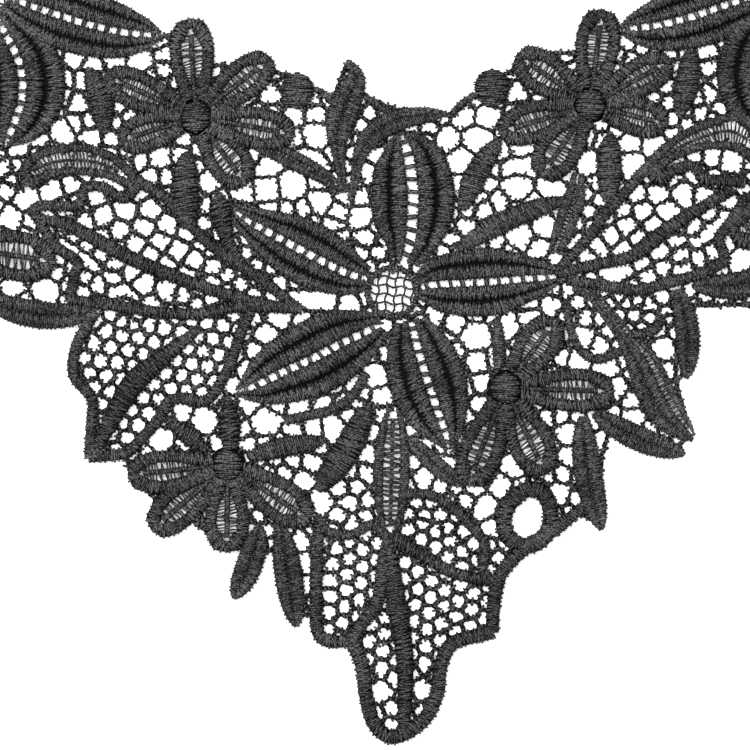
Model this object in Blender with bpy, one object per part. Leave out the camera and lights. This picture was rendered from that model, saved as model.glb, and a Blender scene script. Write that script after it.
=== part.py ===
"""A guipure lace collar that lies flat: a net ground in panels, with the flowers, leaves and cords that are
embroidered on it standing up as raised pieces.

The tables hold millimetres, measured from the front flower's heart, with +X to the wearer's left and +Y
towards the neck. Each row of a stroke is a place on its centre line and its full width there."""

import math

import bmesh
import bpy
import numpy as np

MM = 0.001

# Heights of the layers.
GROUND_THICK = 1.0
LAYER_GAP = 0.3
RAISED_BASE = GROUND_THICK + LAYER_GAP
PETAL_HIGH = 1.3
LEAF_HIGH = 1.1
CORD_HIGH = 0.8
FLOWER_HIGH = 1.2

# The ground's own sizes.
NET_PITCH = 4.1
NET_RADIUS = 2.0
NET_ROWS = 26
BAR_WIDTH = 1.2
SEAM_GAP = 0.3
LEAST_GAP_AREA = 5.0

# What keeps the raised pieces apart, and how finely shapes are read and drawn.
PIECE_GAP = 0.45
NARROWEST = 0.9
END_ROUND = 1.7
STATION_STEP = 4.2
OUTLINE_SLACK = 0.35
CELL = 0.5
FAR = 4.0
SHEET_LEFT, SHEET_RIGHT, SHEET_LOW, SHEET_HIGH = -160.0, 160.0, -118.0, 195.0

THREAD = (0.045, 0.043, 0.047, 1.0)
GROUND_THREAD = (0.035, 0.034, 0.037, 1.0)

# Front flower: petal name, then rows of x, y, width from the heart to the tip.
FRONT_PETALS = {
    "petal_up": [(2.5, 7.8, 7.5), (4.1, 13.2, 14.8), (4.5, 18.2, 20), (4.8, 24.5, 21.5), (4, 32, 18.8),
        (3.1, 35.8, 13.4), (2.2, 38.4, 7.5), (2, 39.8, 2.5)],
    "petal_right": [(6.2, 1.4, 6.5), (10.2, 2.1, 13.2), (16, 2.4, 16.4), (24, 2.8, 17.4), (31, 3.4, 13.8),
        (37, 3.8, 8.4), (43.4, 4.5, 1.5)],
    "petal_down": [(4.2, -7, 8), (5.4, -11.9, 14.5), (7.1, -17.9, 18.9), (9, -23.8, 19.4), (11, -29.8, 16),
        (12.9, -35.2, 9.2), (13.6, -38.9, 2.2)],
    "petal_low_left": [(-3.7, -7.9, 7), (-8.1, -10.2, 13.2), (-13.8, -12.9, 18.2), (-20.4, -16.4, 19.2),
        (-27.2, -19.5, 17), (-32.8, -22.3, 12.2), (-37, -24, 6), (-39.4, -24.5, 1.6)],
    "petal_high_left": [(-6.7, 3.6, 6.4), (-11.6, 4.9, 11.6), (-18.4, 8.2, 16), (-25.1, 11.7, 16),
        (-30.5, 14.7, 12.4), (-37, 18.4, 7), (-41.4, 21.9, 2)],
}
FRONT_HEART = [(-0.8, 0.8, 11), (0.2, -2.5, 9)]

# Arm flower, for the left arm: the same petals, turned.
ARM_PETALS = {
    "petal_inner": [(-96, 74, 7), (-91, 71.8, 13), (-84, 69.5, 16.4), (-76, 67, 16.2), (-68, 65.2, 13.4),
        (-62, 64.6, 8), (-58.5, 64.2, 2.5)],
    "petal_low": [(-99.5, 69, 7), (-97, 64.5, 13), (-94, 58.5, 20), (-92.8, 52, 22), (-93.5, 46.5, 20),
        (-95.5, 41, 13), (-97, 37.2, 3)],
    "petal_outer": [(-107, 72.5, 7), (-112, 70, 14), (-119, 67, 18.5), (-126, 65.2, 18.5), (-133, 63, 14),
        (-138, 60.5, 7), (-141, 58.5, 2)],
    "petal_high": [(-105.5, 79.5, 7), (-109, 84, 14), (-114, 90.5, 18.5), (-118.5, 96.5, 18.5),
        (-123, 102, 13.5), (-126.5, 105.5, 7), (-129, 108, 2)],
    "petal_neck": [(-98.5, 80.5, 7), (-96, 85, 14), (-92, 91.5, 18.5), (-88, 98, 18.5), (-84, 104, 13.5),
        (-81.5, 107.8, 7), (-79.5, 110.5, 2)],
}
ARM_HEART = [(-102, 75.8, 10), (-101, 74.8, 10)]

# Small flowers: centre, then each petal's tip and width.
FRONT_FLOWERS = {
    "flower_neck_left": ((-49.5, 44), [
        (-51, 68.8, 11.2), (-30.5, 58.8, 10.4), (-24.5, 39.5, 10.6), (-36.8, 27, 11.2), (-69, 37.8, 10),
        (-72.5, 54.5, 10)]),
    "flower_neck_right": ((49, 47), [
        (52, 71, 11.2), (30.5, 59.5, 10.8), (26, 40, 10.6), (36.5, 28.8, 11.2), (68.5, 42, 10),
        (69.5, 58.2, 10)]),
    "flower_front_right": ((27.8, -23.8), [(40.5, -6.4, 10.8), (55.4, -24.6, 11), (38, -45.6, 11.4),
        (18.2, -48.4, 11)]),
    "flower_front_left": ((-41.5, -43), [(-66.8, -45.5, 10.6), (-60.8, -59.5, 10.6), (-41.8, -64.8, 11.2),
        (-20.6, -57, 11)]),
}
ARM_FLOWERS = {
    "flower_edge": ((-111, 12), [
        (-84.2, 7.6, 12.5), (-107, -8.5, 10), (-127, -1, 10), (-132.5, 17.5, 10), (-121, 34, 10),
        (-106, 36, 9)]),
    "flower_shoulder": ((-113, 131), [
        (-91, 127, 10.6), (-98, 147, 10.6), (-117.5, 155, 10.6), (-134, 142, 10.6), (-132.5, 122, 10.6),
        (-109, 110, 9.6)]),
}
BUTTON_RADIUS = 3.3
PETAL_SPOKES = (-21, -10, 0, 10, 21)
SPOKE_FILL = 25

# Dots and the eyelet ring: x, y and radius.
DOTS = {"dot_left": (-24.2, 50.5, 4.5), "dot_right": (24.5, 51.2, 4.7)}
RING_PLACE = (33.5, -56.0)
RING_OUTER = (7.9, 9.5)
RING_HOLE = (3.6, 5.0)
RING_TURN = math.radians(-18)

# Leaves: base x and y, tip x and y, width, sideways bow of the middle, and the depth of the middle groove.
FRONT_LEAVES = {
    "leaf_neck_left": (-37.2, 38.2, -12.8, 26, 4.6, 1.0, 0.0),
    "leaf_neck_right": (17.2, 20.8, 26.5, 38.2, 6.2, 1.2, 0.0),
    "leaf_right_upper": (15.8, 10.8, 43.5, 23.5, 5.6, 1.5, 0.0),
    "leaf_front_low": (-19, -49.2, -6.5, -28, 7.5, -1.2, 0.0),
    "leaf_low_left": (-33.5, -58.5, -40, -76.2, 6.6, 0.8, 0.4),
    "leaf_low": (-28.2, -58.5, -24.4, -83.2, 7.0, 0.0, 0.4),
    "leaf_right_low": (47.2, -31, 51.8, -59, 7.0, -1.0, 0.4),
    "leaf_right_out": (50, -30, 72.5, -40.2, 6.2, -1.2, 0.4),
    "leaf_right_edge": (71, 0.8, 73, -21.2, 6.0, 1.3, 0.4),
    "leaf_point": (-0.2, -29, -1, -60.5, 8.8, 0.0, 0.5),
    "leaf_wing_high_left": (-72.4, 39.8, -76.5, 56.2, 6.4, -1.2, 0.0),
    "leaf_wing_high_right": (71.2, 44.4, 73.8, 60.8, 6.4, -0.8, 0.0),
    "leaf_wing_low_left": (-51.8, 16.2, -51.8, 35.2, 7.4, 0.4, 0.0),
    "leaf_wing_low_right": (53.6, 22.6, 54, 40, 6.6, 0.0, 0.0),
}
SIDE_LEAVES = {
    "leaf_edge": (-103.5, -0.8, -74.5, -4.8, 6.8, -2.6, 0.4),
    "leaf_shoulder": (-108, 150, -114, 181, 8.0, -1.5, 0.4),
}
# Leaves on a curve of their own: rows of x, y, width, and the depth of the groove.
CURVED_LEAVES = {
    "leaf_arched": ([(-11, 23.2, 1.4), (-10, 27.5, 2), (-9.2, 32, 2.8), (-8, 35.8, 4.2), (-6, 38.8, 5.4),
        (-1.5, 42.2, 5.6), (3.5, 43.8, 5), (9, 44.5, 3.6), (13, 44.8, 1.2)], 0.4),
    "leaf_neck": ([(-12.5, 25.2, 1.6), (-13, 29, 2.2), (-14, 35.8, 3.6), (-14, 40, 6), (-13.1, 44, 7.4),
        (-11.5, 48.2, 7.2), (-9.7, 52.5, 5.2), (-9.8, 55.4, 3.2), (-11.6, 58, 1)], 0.4),
    "leaf_right_large": ([(45, 1.6, 2.4), (49, 0, 3), (54, -6, 3.6), (58.2, -11.8, 4.8), (62.2, -18, 8.2),
        (64.8, -24.2, 9.4), (68.5, -30.5, 8.4), (72.5, -34.5, 5), (74.6, -36.3, 1.6)], 0.3),
}

# Cords: rows of x, y, width.
WING_CORDS = {
    "upper_edge": [(-23.5, -4.2, 2.6), (-33, 3.2, 3), (-39.8, 7.8, 3), (-47.2, 13.2, 3),
        (-57.2, 23.8, 3), (-64, 27.8, 3)],
    "stem": [(-43.8, 25, 1.5), (-43.5, 21, 6), (-41.5, 13, 3.6), (-38.5, 7.8, 3)],
    "arch_outer": [(-91.5, 26.8, 3.6), (-92, 31.5, 3), (-87.5, 35, 2.2), (-78.5, 36.2, 2), (-71.2, 34.4, 2.2),
        (-66.5, 30.6, 2.6), (-63.5, 27.5, 3)],
    "arch_inner": [(-91.2, 27, 3.6), (-86, 29.6, 2.4), (-80, 30.4, 2), (-72, 29.6, 2), (-66.8, 27.4, 2.2),
        (-64, 27, 2.4)],
    "hook": [(-91.2, 19.5, 2.8), (-88.2, 21.8, 2.8), (-78.8, 21.8, 2.8), (-77.5, 26, 2.8), (-72.8, 26.5, 2.8),
        (-67.5, 23.5, 2.8), (-63.8, 27.2, 3)],
    "outer_edge": [(-89.8, 20, 2.8), (-84.8, 12, 3), (-79, 7.8, 3), (-79.8, 4.5, 3), (-81, -1.8, 3)],
    "vein": [(-88.5, 18.8, 2), (-79.8, 16.2, 3.4), (-66, 8.8, 3.9), (-48.5, 1.8, 3.4), (-36, -1.8, 2.8),
        (-24, -4, 2)],
    "lower_edge": [(-81, -1.8, 3), (-71, -3, 3), (-58.5, -4.8, 3), (-48.5, -5.2, 3), (-38.5, -3.5, 3),
        (-23.5, -4, 2.6)],
}
RIGHT_WING_CORDS = {
    "upper_edge": [(41.5, 6.2, 2.4), (44.2, 9, 2.8), (49.5, 15.2, 3), (52, 18.8, 3), (57.5, 24.8, 3),
        (62.2, 30.2, 3), (64.5, 32, 3)],
    "arch_outer": [(90, 33.4, 3.6), (90.4, 38.5, 3), (87.8, 43, 2.4), (84, 43.8, 2), (77.8, 42, 2.2),
        (71.5, 39, 2.2), (66.5, 35, 2.6), (63, 30.8, 3)],
    "arch_inner": [(90, 33.6, 3.6), (86.5, 36, 2.4), (82, 37, 2), (75, 36, 2), (69, 33.5, 2.2),
        (64.5, 30.2, 3)],
    "hook": [(87.5, 27.6, 3), (81.5, 28.2, 3), (77, 28.5, 3), (75.8, 31.2, 2.8), (73, 31.8, 2.8),
        (69.5, 30.5, 3), (66.5, 28.4, 4.4), (64, 30.2, 3)],
    "outer_edge": [(88.5, 24.5, 2.8), (84.5, 18.2, 3), (81, 13.4, 3), (82.2, 10.5, 3), (82.5, 7.8, 3)],
    "vein": [(40.5, 4.5, 2.2), (47.8, 6.5, 3), (59, 9, 3.4), (63.2, 12, 4.4), (70.2, 17.2, 3.8),
        (77.2, 21.5, 3.2), (84.6, 25.8, 3)],
    "lower_edge": [(82.5, 7.8, 3), (77.2, 5, 3), (70.2, 3, 3), (61.5, 0.8, 3), (54, 1.5, 3), (44, 3.4, 2.6)],
}
LOWER_LEAF_CORDS = {
    "outer_edge": [(-74.8, -5, 3), (-79.2, -13, 3), (-80, -20.5, 3), (-75.5, -26.2, 3), (-75.5, -32, 3),
        (-76, -41, 3)],
    "lower_edge": [(-76, -41, 3), (-67.2, -40, 3), (-63.5, -36.8, 3), (-58.5, -31.2, 3), (-56.5, -27.2, 3),
        (-52.2, -26.2, 3), (-47.8, -27.2, 3), (-44.8, -24.8, 3), (-41, -18, 3), (-38.5, -10.5, 3),
        (-36, -5, 3)],
    "vein": [(-48.5, -8.8, 2), (-58.5, -16.8, 5), (-66, -23.8, 6.2), (-74, -38.5, 3), (-76, -41, 3)],
    "twig": [(-47.2, -38.8, 2.4), (-51, -36, 5), (-57, -31.2, 2)],
    "bud": [(-40.8, -38.8, 4), (-41.2, -32, 6.2), (-41.5, -25.5, 1)],
}
POINT_CORDS = {
    "fan_top": [(2.5, -50, 2.7), (9, -50.5, 2.7), (14, -53, 2.7), (19, -58, 2.7), (22.8, -63, 2.7),
        (22, -69, 2.7), (24.5, -72, 3.2)],
    "fan_low": [(-2.2, -61, 3.2), (1.5, -62.2, 3.2), (9, -66.8, 3.2), (15.2, -70, 3.2), (24.5, -72, 3.2)],
    "ring_out": [(26, -71, 3.6), (28.5, -67.8, 3.6), (33, -63.6, 3.6), (40.5, -58.8, 3.6),
        (47.5, -53.2, 2.5)],
    "ring_down": [(26.5, -70.5, 3.6), (25, -76.8, 3.6), (24.5, -84.8, 3.6)],
    "tip": [(24.5, -84.8, 3.6), (19, -86, 3.8), (14, -88, 3.8), (11.5, -93.8, 3.8), (10.8, -99.8, 3.8),
        (7.8, -106.2, 3.8), (2.8, -110, 3.8), (-1.5, -110.8, 3.8), (-5.2, -107.2, 3.8), (-7, -100.5, 3.8),
        (-8, -93, 3.8), (-10.5, -86.8, 3.8)],
    "vein": [(-1.2, -62.5, 2.9), (0.5, -76.8, 5.3), (2.5, -89.2, 4.8), (2.8, -99.2, 4.1), (2.5, -109.5, 3.1)],
    "fan_edge": [(-18.5, -57, 2.9), (-19.2, -63, 3.4), (-19.5, -76.8, 3.4), (-19.2, -84.2, 3.4),
        (-16.5, -87, 3.4), (-10.5, -86.8, 3.4)],
    "fan_vein": [(-10.5, -86.8, 3.6), (-7.5, -81.8, 3.6), (-4, -76.8, 3.6), (-2.8, -66.8, 3.1),
        (-1.5, -62, 2.9)],
    "fan_arc": [(-18.2, -56, 2.5), (-17.2, -59.2, 2.5), (-11, -60.5, 2.5), (-5.5, -57.8, 2.5),
        (-2.2, -61, 2.5)],
}
FLAT_CORDS = {
    "arc": [(-27, -31.8, 2.6), (-21, -30.5, 2.6), (-14.8, -28.8, 2.6), (-9.8, -25, 2.6), (-7, -20, 2.4)],
    "side_arc": [(59, -10.5, 2.6), (65.2, -9.2, 2.6), (67, -5.5, 2.6)],
    "leaf_arc": [(43, -1.8, 2.2), (44.2, -9.4, 2.2), (46.8, -14.6, 2.2), (51, -16.6, 2.4),
        (56.5, -14.6, 2.4)],
    "leaf_rail": [(46, 29.8, 3), (45, 23.2, 5.6), (43.5, 19.2, 5.6), (41.8, 14.2, 5.2), (40, 10.5, 3)],
    "loop_left": [(-19.8, 50.8, 2.4), (-18, 50.2, 2.4), (-14.8, 47, 2.4)],
    "loop_middle": [(-7.2, 49, 2.2), (-4, 47, 2.2), (-1.8, 45, 2.2)],
    "loop_right": [(20.2, 49.5, 2.4), (17, 47.5, 2.4), (14.2, 44.5, 2.4)],
}
ARM_CORDS = {
    "below_flower": [(-121, 34, 2.8), (-127.5, 46, 3), (-140, 58, 2.4)],
    "beside_flower": [(-128, 71, 2.8), (-122.5, 82, 3), (-125, 93, 2.8)],
    "above_flower": [(-128.5, 107, 2.4), (-127, 114, 3), (-132, 122, 2.4)],
    "neck_high": [(-91.5, 127, 2.4), (-89, 119, 3), (-80.5, 110.5, 2.4)],
    "neck_low": [(-83, 99, 2.8), (-81.5, 86, 3), (-76, 73, 2.8)],
    "shoulder": [(-118, 154, 2.4), (-119, 166, 3), (-114, 180, 2.4)],
}

# The ground's outer limit on the front, and on the left arm, through the middle of the border pieces.
FRONT_LIMIT = [
    (0, 46), (-7.2, 49), (-11.8, 57), (-15.5, 48.2), (-19.8, 50.8), (-24.5, 53.8), (-32, 56),
    (-46, 57), (-50.5, 67), (-58, 63.8), (-70, 60), (-75, 30), (-80, 0), (-75, -6), (-79.5, -13),
    (-80, -20.5), (-75.8, -27), (-76, -40.8), (-67, -40), (-66, -45.5), (-60, -51), (-60, -59.5),
    (-51, -56), (-46, -60.5), (-40.5, -63), (-36, -61), (-39.5, -74), (-33.5, -65), (-30, -64),
    (-24.5, -81), (-20.5, -80), (-19, -86), (-10.5, -87), (-7, -102), (-1.5, -110.5), (7.8, -105.5),
    (11.5, -94), (14.5, -88), (24.5, -85), (25.5, -73), (33, -64), (46, -55), (51, -57), (51.8, -42),
    (53.5, -35), (62, -37.5), (71, -39.2), (73.5, -34.5), (70.5, -22), (73.5, -19),
    (74, 2), (80, 20), (75, 50), (69, 60),
    (62, 64.5), (51, 69), (46, 60), (34, 60), (29, 55), (24.5, 54), (20.2, 49.5), (14.8, 44.5)]
ARM_LIMIT = [
    (-58, 64), (-60, 22), (-55, -4), (-72, -5), (-88, -5.2), (-101, -1.5), (-107, -6), (-126, -1),
    (-126, 8), (-131.5, 17), (-123, 24), (-121, 34), (-127.5, 46), (-140, 58), (-128, 71),
    (-122.5, 82), (-125, 93), (-128.5, 107), (-127, 114), (-132, 122), (-127, 131), (-133, 141),
    (-120, 147), (-118, 154), (-119, 166), (-114, 180), (-106, 165), (-99, 147), (-98, 136),
    (-92, 127), (-89, 119), (-80.5, 110.5), (-81.5, 86), (-76, 73)]

# Gaps wider than the net's: x, y, radius, and for a slot also its length and its direction in degrees.
FRONT_GAPS = [
    (-46, 28.2, 2.6), (-38.5, 25.2, 2.2), (-30.8, 49.5, 2.2), (-25.2, 44.6, 2.2), (-19.5, 44.8, 2.3),
    (-19.8, 39.5, 3), (-31.8, 32, 2.3), (-31.5, 25.8, 2.4), (-25.5, 26.5, 3), (-18.5, 22.8, 2.8),
    (-8, 19, 2.6), (-6.8, 13.8, 2.2), (-4, 34.5, 2.2), (-6, 29.8, 2.2), (-15.5, 17, 2), (12.8, 38, 2.4),
    (17.8, 44.5, 2.3), (23.2, 44.2, 2.8), (30.8, 50.2, 2), (21, 38.6, 2.8), (16.4, 32.8, 2.8),
    (16.2, 26.8, 2.4), (31.8, 37, 2.8), (30.5, 26, 3), (39.8, 26.5, 2.8), (22.5, 20.6, 2.2),
    (26.6, 22.6, 2.2), (17.8, 17, 2), (21, 11.8, 2.2), (25.4, 12.8, 2.2), (31, 13.8, 2.8),
    (38.2, 16.6, 2.7), (36.5, 11, 2.2), (-11, -2.5, 2), (-28.5, -5.6, 2.6), (-32, -10.5, 2.2),
    (-34.2, -15, 2.2), (-36.8, -19, 2.2), (-36.5, -28, 2), (-47.2, -32, 2.8), (-53.6, -29.8, 2),
    (-58.5, -36.8, 2.8), (-32.2, -32.2, 3.2), (-36.6, -38, 2), (-24, -28, 2), (-25, -34.8, 2),
    (-20.2, -34.2, 2.1), (-15, -33.8, 2.8), (-4.8, -20.5, 2.8), (-3.4, -26, 2), (-5.2, -34.5, 2),
    (-6, -40.5, 2.1), (-20.5, -42, 2), (-23, -47, 2), (-18.5, -52.2, 2.6), (-23.5, -62, 2.2),
    (-22, -67.5, 2.4), (-22, -73, 2), (10.5, -5.2, 2), (14.8, -7.4, 2), (20.4, -10.8, 3),
    (28, -8.6, 2.8), (34, -6.2, 2.2), (39.2, -2.8, 2), (20.8, -17.4, 2.3), (21.6, -22.4, 2),
    (21, -28.2, 2), (19.6, -34.6, 2), (6, -37.8, 2), (4, -42.2, 2), (12.6, -43.6, 2.4),
    (7.4, -46.6, 2.4), (22.6, -53.4, 2.4), (30.2, -43, 2.8), (27, -48.4, 2.2), (40.8, -50.2, 2.4),
    (25, -59, 2.2), (43.8, -35, 2.8), (44, -41, 2.6), (59.8, -31.6, 2.8), (53, -18.4, 2.8),
    (55.4, -23.6, 2.2), (46, -17, 2.4), (47, -11, 2.4), (67.8, -13.4, 2.6), (-3.6, -99.8, 2.6),
    (7, -99.5, 2.2), (48.5, 32.5, 2.5)]
FRONT_SLOTS = [
    (-21, 33.2, 2, 6, -25), (31, 32, 1.6, 5, 10), (-21, -1.2, 1.8, 8, -5), (53, -38.6, 1.8, 4, 60)]
WING_GAPS = [
    (-94.2, 35.8, 1.9), (-88.5, 38.4, 1.9), (-83.2, 40.2, 2.7), (-76, 39, 2.2), (-59, 34, 2.6),
    (-60.6, 29, 2.2), (-92.2, 23.6, 2.5), (-85.5, 25.8, 2.3), (-80.6, 27, 2), (-96.2, 18.6, 2.8),
    (-91.6, 14.4, 1.9), (-72.8, 19, 2.1), (-77.2, 17.6, 1.8), (-67.2, 21, 1.9), (-61, 20.5, 2),
    (-62.2, 16.5, 2.1), (-69, 15.2, 2.2), (-64.8, 12.2, 2.2), (-57, 16.8, 1.9), (-58.5, 13, 2),
    (-61, 9.5, 2), (-54, 10.5, 2.1), (-57, 6.8, 2.1), (-50.2, 8, 1.9), (-51.8, 4.5, 2),
    (-65.5, 5.2, 1.9), (-70.5, 3.8, 1.8), (-56.5, 0.5, 2), (-86.8, 0.6, 3.1), (-95.5, 1.5, 2.4),
    (60.5, 24.5, 1.8), (66.2, 24.8, 2.3), (72, 24.5, 2.3), (77.5, 24.2, 1.8), (57.2, 20.8, 1.8),
    (62, 20.5, 2.1), (68.5, 20.5, 2.5), (58.2, 16.8, 2.2), (65, 16.8, 2.3), (54.2, 14.2, 2.1),
    (61.2, 13.8, 2), (51, 11.8, 1.9), (57.2, 10.8, 1.7), (48, 8.8, 2.2), (45.8, 13, 1.7),
    (74.8, 16.5, 2), (70.8, 13.2, 1.7), (66.8, 10, 1.8), (71.8, 9.5, 1.9), (76.2, 8.8, 2),
    (61.8, 7.2, 1.7), (67.5, 6.5, 1.9), (63.2, 4, 2), (79, 19.5, 1.6), (59.2, 38, 2.6),
    (65, 37.2, 2.9), (59.5, 32, 3), (79.5, 33.8, 2.2), (84.2, 32.8, 2.7), (87, 8, 2.8)]
WING_SLOTS = [
    (-79.2, 9.4, 1.5, 8, -38), (-71, 27, 1.4, 3, -35), (-68, 0.2, 1.2, 4, -20), (79.2, 15.8, 1.5, 9, 40),
    (71.8, 6, 1.2, 3, 25), (56, 5, 1.8, 4, 10), (70.8, 32.5, 1.5, 2, 40)]
ARM_GAPS = [
    (-78.6, 47.2, 2.2), (-83, 53.5, 2.2), (-80, 59, 2.2), (-70, 59, 2.2), (-63.5, 58, 2.4),
    (-102, 27.6, 2.4), (-105, 44, 3), (-111.5, 49.5, 3), (-113, 41.5, 2.8), (-107, 57, 2.6),
    (-120, 51.5, 2.8), (-127.5, 53, 2.4), (-116.5, 77.5, 2.8), (-111, 78.5, 2), (-101.5, 92, 2.8),
    (-104, 99, 2.8), (-99, 105.5, 2.8), (-107, 105, 2.6), (-115, 110, 2.6), (-121, 113, 2.6),
    (-101, 113, 2.4), (-85.5, 80.5, 2.4), (-112.5, 157, 2.2), (-115, 162.5, 2.2)]
# Fields of the net: a place in each and the direction of its rows in degrees, along the vein of a leaf.
NET_FIELDS = [
    (0, 10, 0), (0, 70, 0), (-110, 60, 0), (110, 60, 0), (-110, 120, 0), (110, 120, 0), (-66, 9, -36),
    (68, 14, 41), (-60, -23, 49), (5, -82, 85), (56, -20, 0), (-40, -45, 0), (30, -45, 0)]

# Panels of the ground, each reaching to the seams halfway to its neighbours: x, y.
PANELS = {
    "ground_front": (-1, 6), "ground_point": (0, -66),
    "ground_leaf_left": (-58, -34), "ground_leaf_right": (58, -30),
    "ground_wing_left": (-62, 18), "ground_wing_right": (62, 20),
    "ground_arm_left": (-108, 62), "ground_arm_right": (108, 64)}

# The right half mirrors the left one, leaning by these degrees about the heart.
WING_LEAN = 5.0
ARM_LEAN = 1.5
LEAN_CHANGE = 60.0

for old in list(bpy.data.objects):
    bpy.data.objects.remove(old, do_unlink=True)

columns = np.arange(SHEET_LEFT, SHEET_RIGHT + CELL, CELL)
lines = np.arange(SHEET_LOW, SHEET_HIGH + CELL, CELL)
GRID_X, GRID_Y = np.meshgrid(columns, lines)


# ---- Points and strokes


def mirrored(rows, lean):
    """The rows turned over to the other side of the collar, leaning by some degrees about the heart."""
    cosine, sine = math.cos(math.radians(lean)), math.sin(math.radians(lean))
    return [(-x * cosine - y * sine, -x * sine + y * cosine, *rest) for x, y, *rest in rows]


def stroke(rows, spacing):
    """Centre points and widths, evenly read along a smooth curve through the rows."""
    rows = np.array(rows, float)
    held = np.vstack([2 * rows[0] - rows[1], rows, 2 * rows[-1] - rows[-2]])
    points = []
    for a, b, c, d in zip(held, held[1:], held[2:], held[3:]):
        count = max(1, round(math.dist(b[:2], c[:2]) / spacing))
        for t in np.arange(count) / count:
            squared, cubed = (2 * a - 5 * b + 4 * c - d) * t**2, (3 * b - a - 3 * c + d) * t**3
            points.append((2 * b + (c - a) * t + squared + cubed) / 2)
    points = np.array([*points, rows[-1]])
    points[:, 2] = np.maximum(points[:, 2], min(NARROWEST, rows[:, 2].max()))
    return points


# Shares of a leaf's and of a small petal's length, with the share of its width there.
LEAF_SHAPE = ((0, 0.3), (0.12, 0.7), (0.32, 0.96), (0.55, 1.0), (0.76, 0.88), (0.92, 0.55), (1, 0.18))
PETAL_SHAPE = ((0, 0.4), (0.3, 0.76), (0.55, 0.98), (0.72, 1.0), (0.86, 0.84), (0.95, 0.55), (1, 0.24))


def leaf_rows(base_x, base_y, tip_x, tip_y, width, bow, shape=LEAF_SHAPE):
    """A leaf's rows, from shares of its length and width: blunt at both ends, widest in the middle."""
    along = np.array([tip_x - base_x, tip_y - base_y])
    across = np.array([-along[1], along[0]]) / np.hypot(*along)
    rows = []
    for share, wide in shape:
        x, y = np.array([base_x, base_y]) + along * share + across * bow * math.sin(math.pi * share)
        rows.append((x, y, width * wide))
    return rows


def petal_rows(centre, tip_x, tip_y, width):
    """A small flower's petal, from its button to its tip."""
    return leaf_rows(centre[0], centre[1], tip_x, tip_y, width, 0, PETAL_SHAPE)


# ---- Fields: how far each grid point lies outside a shape, in millimetres


def field_of(strokes):
    """Distance outside the nearest of the strokes; negative inside. Their ends are rounded."""
    field = np.full(GRID_X.shape, FAR)
    for rows in strokes:
        points = stroke(rows, 0.8)
        halves = points[:, 2] / 2
        if math.dist(points[0, :2], points[-1, :2]) > points[:, 2].max():
            to_start = np.hypot(*(points[:, :2] - points[0, :2]).T)
            to_end = np.hypot(*(points[:, :2] - points[-1, :2]).T)
            halves = np.minimum(halves, np.minimum(to_start, to_end) + END_ROUND)
        for (x, y, _), half in zip(points, halves):
            reach = half + FAR
            left, right = np.searchsorted(columns, (x - reach, x + reach))
            low, high = np.searchsorted(lines, (y - reach, y + reach))
            place = np.s_[low:high, left:right]
            away = np.hypot(GRID_X[place] - x, GRID_Y[place] - y) - half
            field[place] = np.minimum(field[place], away)
    return field


def limit_field(corners):
    """Distance outside a polygon; negative inside."""
    away = np.full(GRID_X.shape, 1e3)
    inside = np.zeros(GRID_X.shape, bool)
    for (x1, y1), (x2, y2) in zip(corners, corners[1:] + corners[:1]):
        run, rise = x2 - x1, y2 - y1
        share = np.clip(((GRID_X - x1) * run + (GRID_Y - y1) * rise) / (run**2 + rise**2), 0, 1)
        away = np.minimum(away, np.hypot(GRID_X - x1 - share * run, GRID_Y - y1 - share * rise))
        if rise:
            inside ^= ((y1 > GRID_Y) != (y2 > GRID_Y)) & (GRID_X < x1 + (GRID_Y - y1) * run / rise)
    return np.where(inside, -away, away)


def read(field, x, y):
    """The field's value between grid points."""
    column, line = (x - SHEET_LEFT) / CELL, (y - SHEET_LOW) / CELL
    i, j = int(column), int(line)
    across, up = column - i, line - j
    low = field[j, i] * (1 - across) + field[j, i + 1] * across
    high = field[j + 1, i] * (1 - across) + field[j + 1, i + 1] * across
    return low * (1 - up) + high * up


def net_places():
    """Where the net's own holes lie: staggered rows in each field, as far as the next field."""
    middles = np.array(NET_FIELDS)
    places = []
    for k, (middle_x, middle_y, turn) in enumerate(NET_FIELDS):
        across, up = math.cos(math.radians(turn)), math.sin(math.radians(turn))
        for row in range(-NET_ROWS, NET_ROWS + 1):
            side = row * NET_PITCH * math.sqrt(3) / 2
            for step in range(-NET_ROWS, NET_ROWS + 1):
                along = (step + row % 2 / 2) * NET_PITCH
                x, y = middle_x + along * across - side * up, middle_y + along * up + side * across
                inside = SHEET_LEFT < x < SHEET_RIGHT and SHEET_LOW < y < SHEET_HIGH
                if inside and np.hypot(middles[:, 0] - x, middles[:, 1] - y).argmin() == k:
                    places.append((x, y))
    return places


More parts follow.
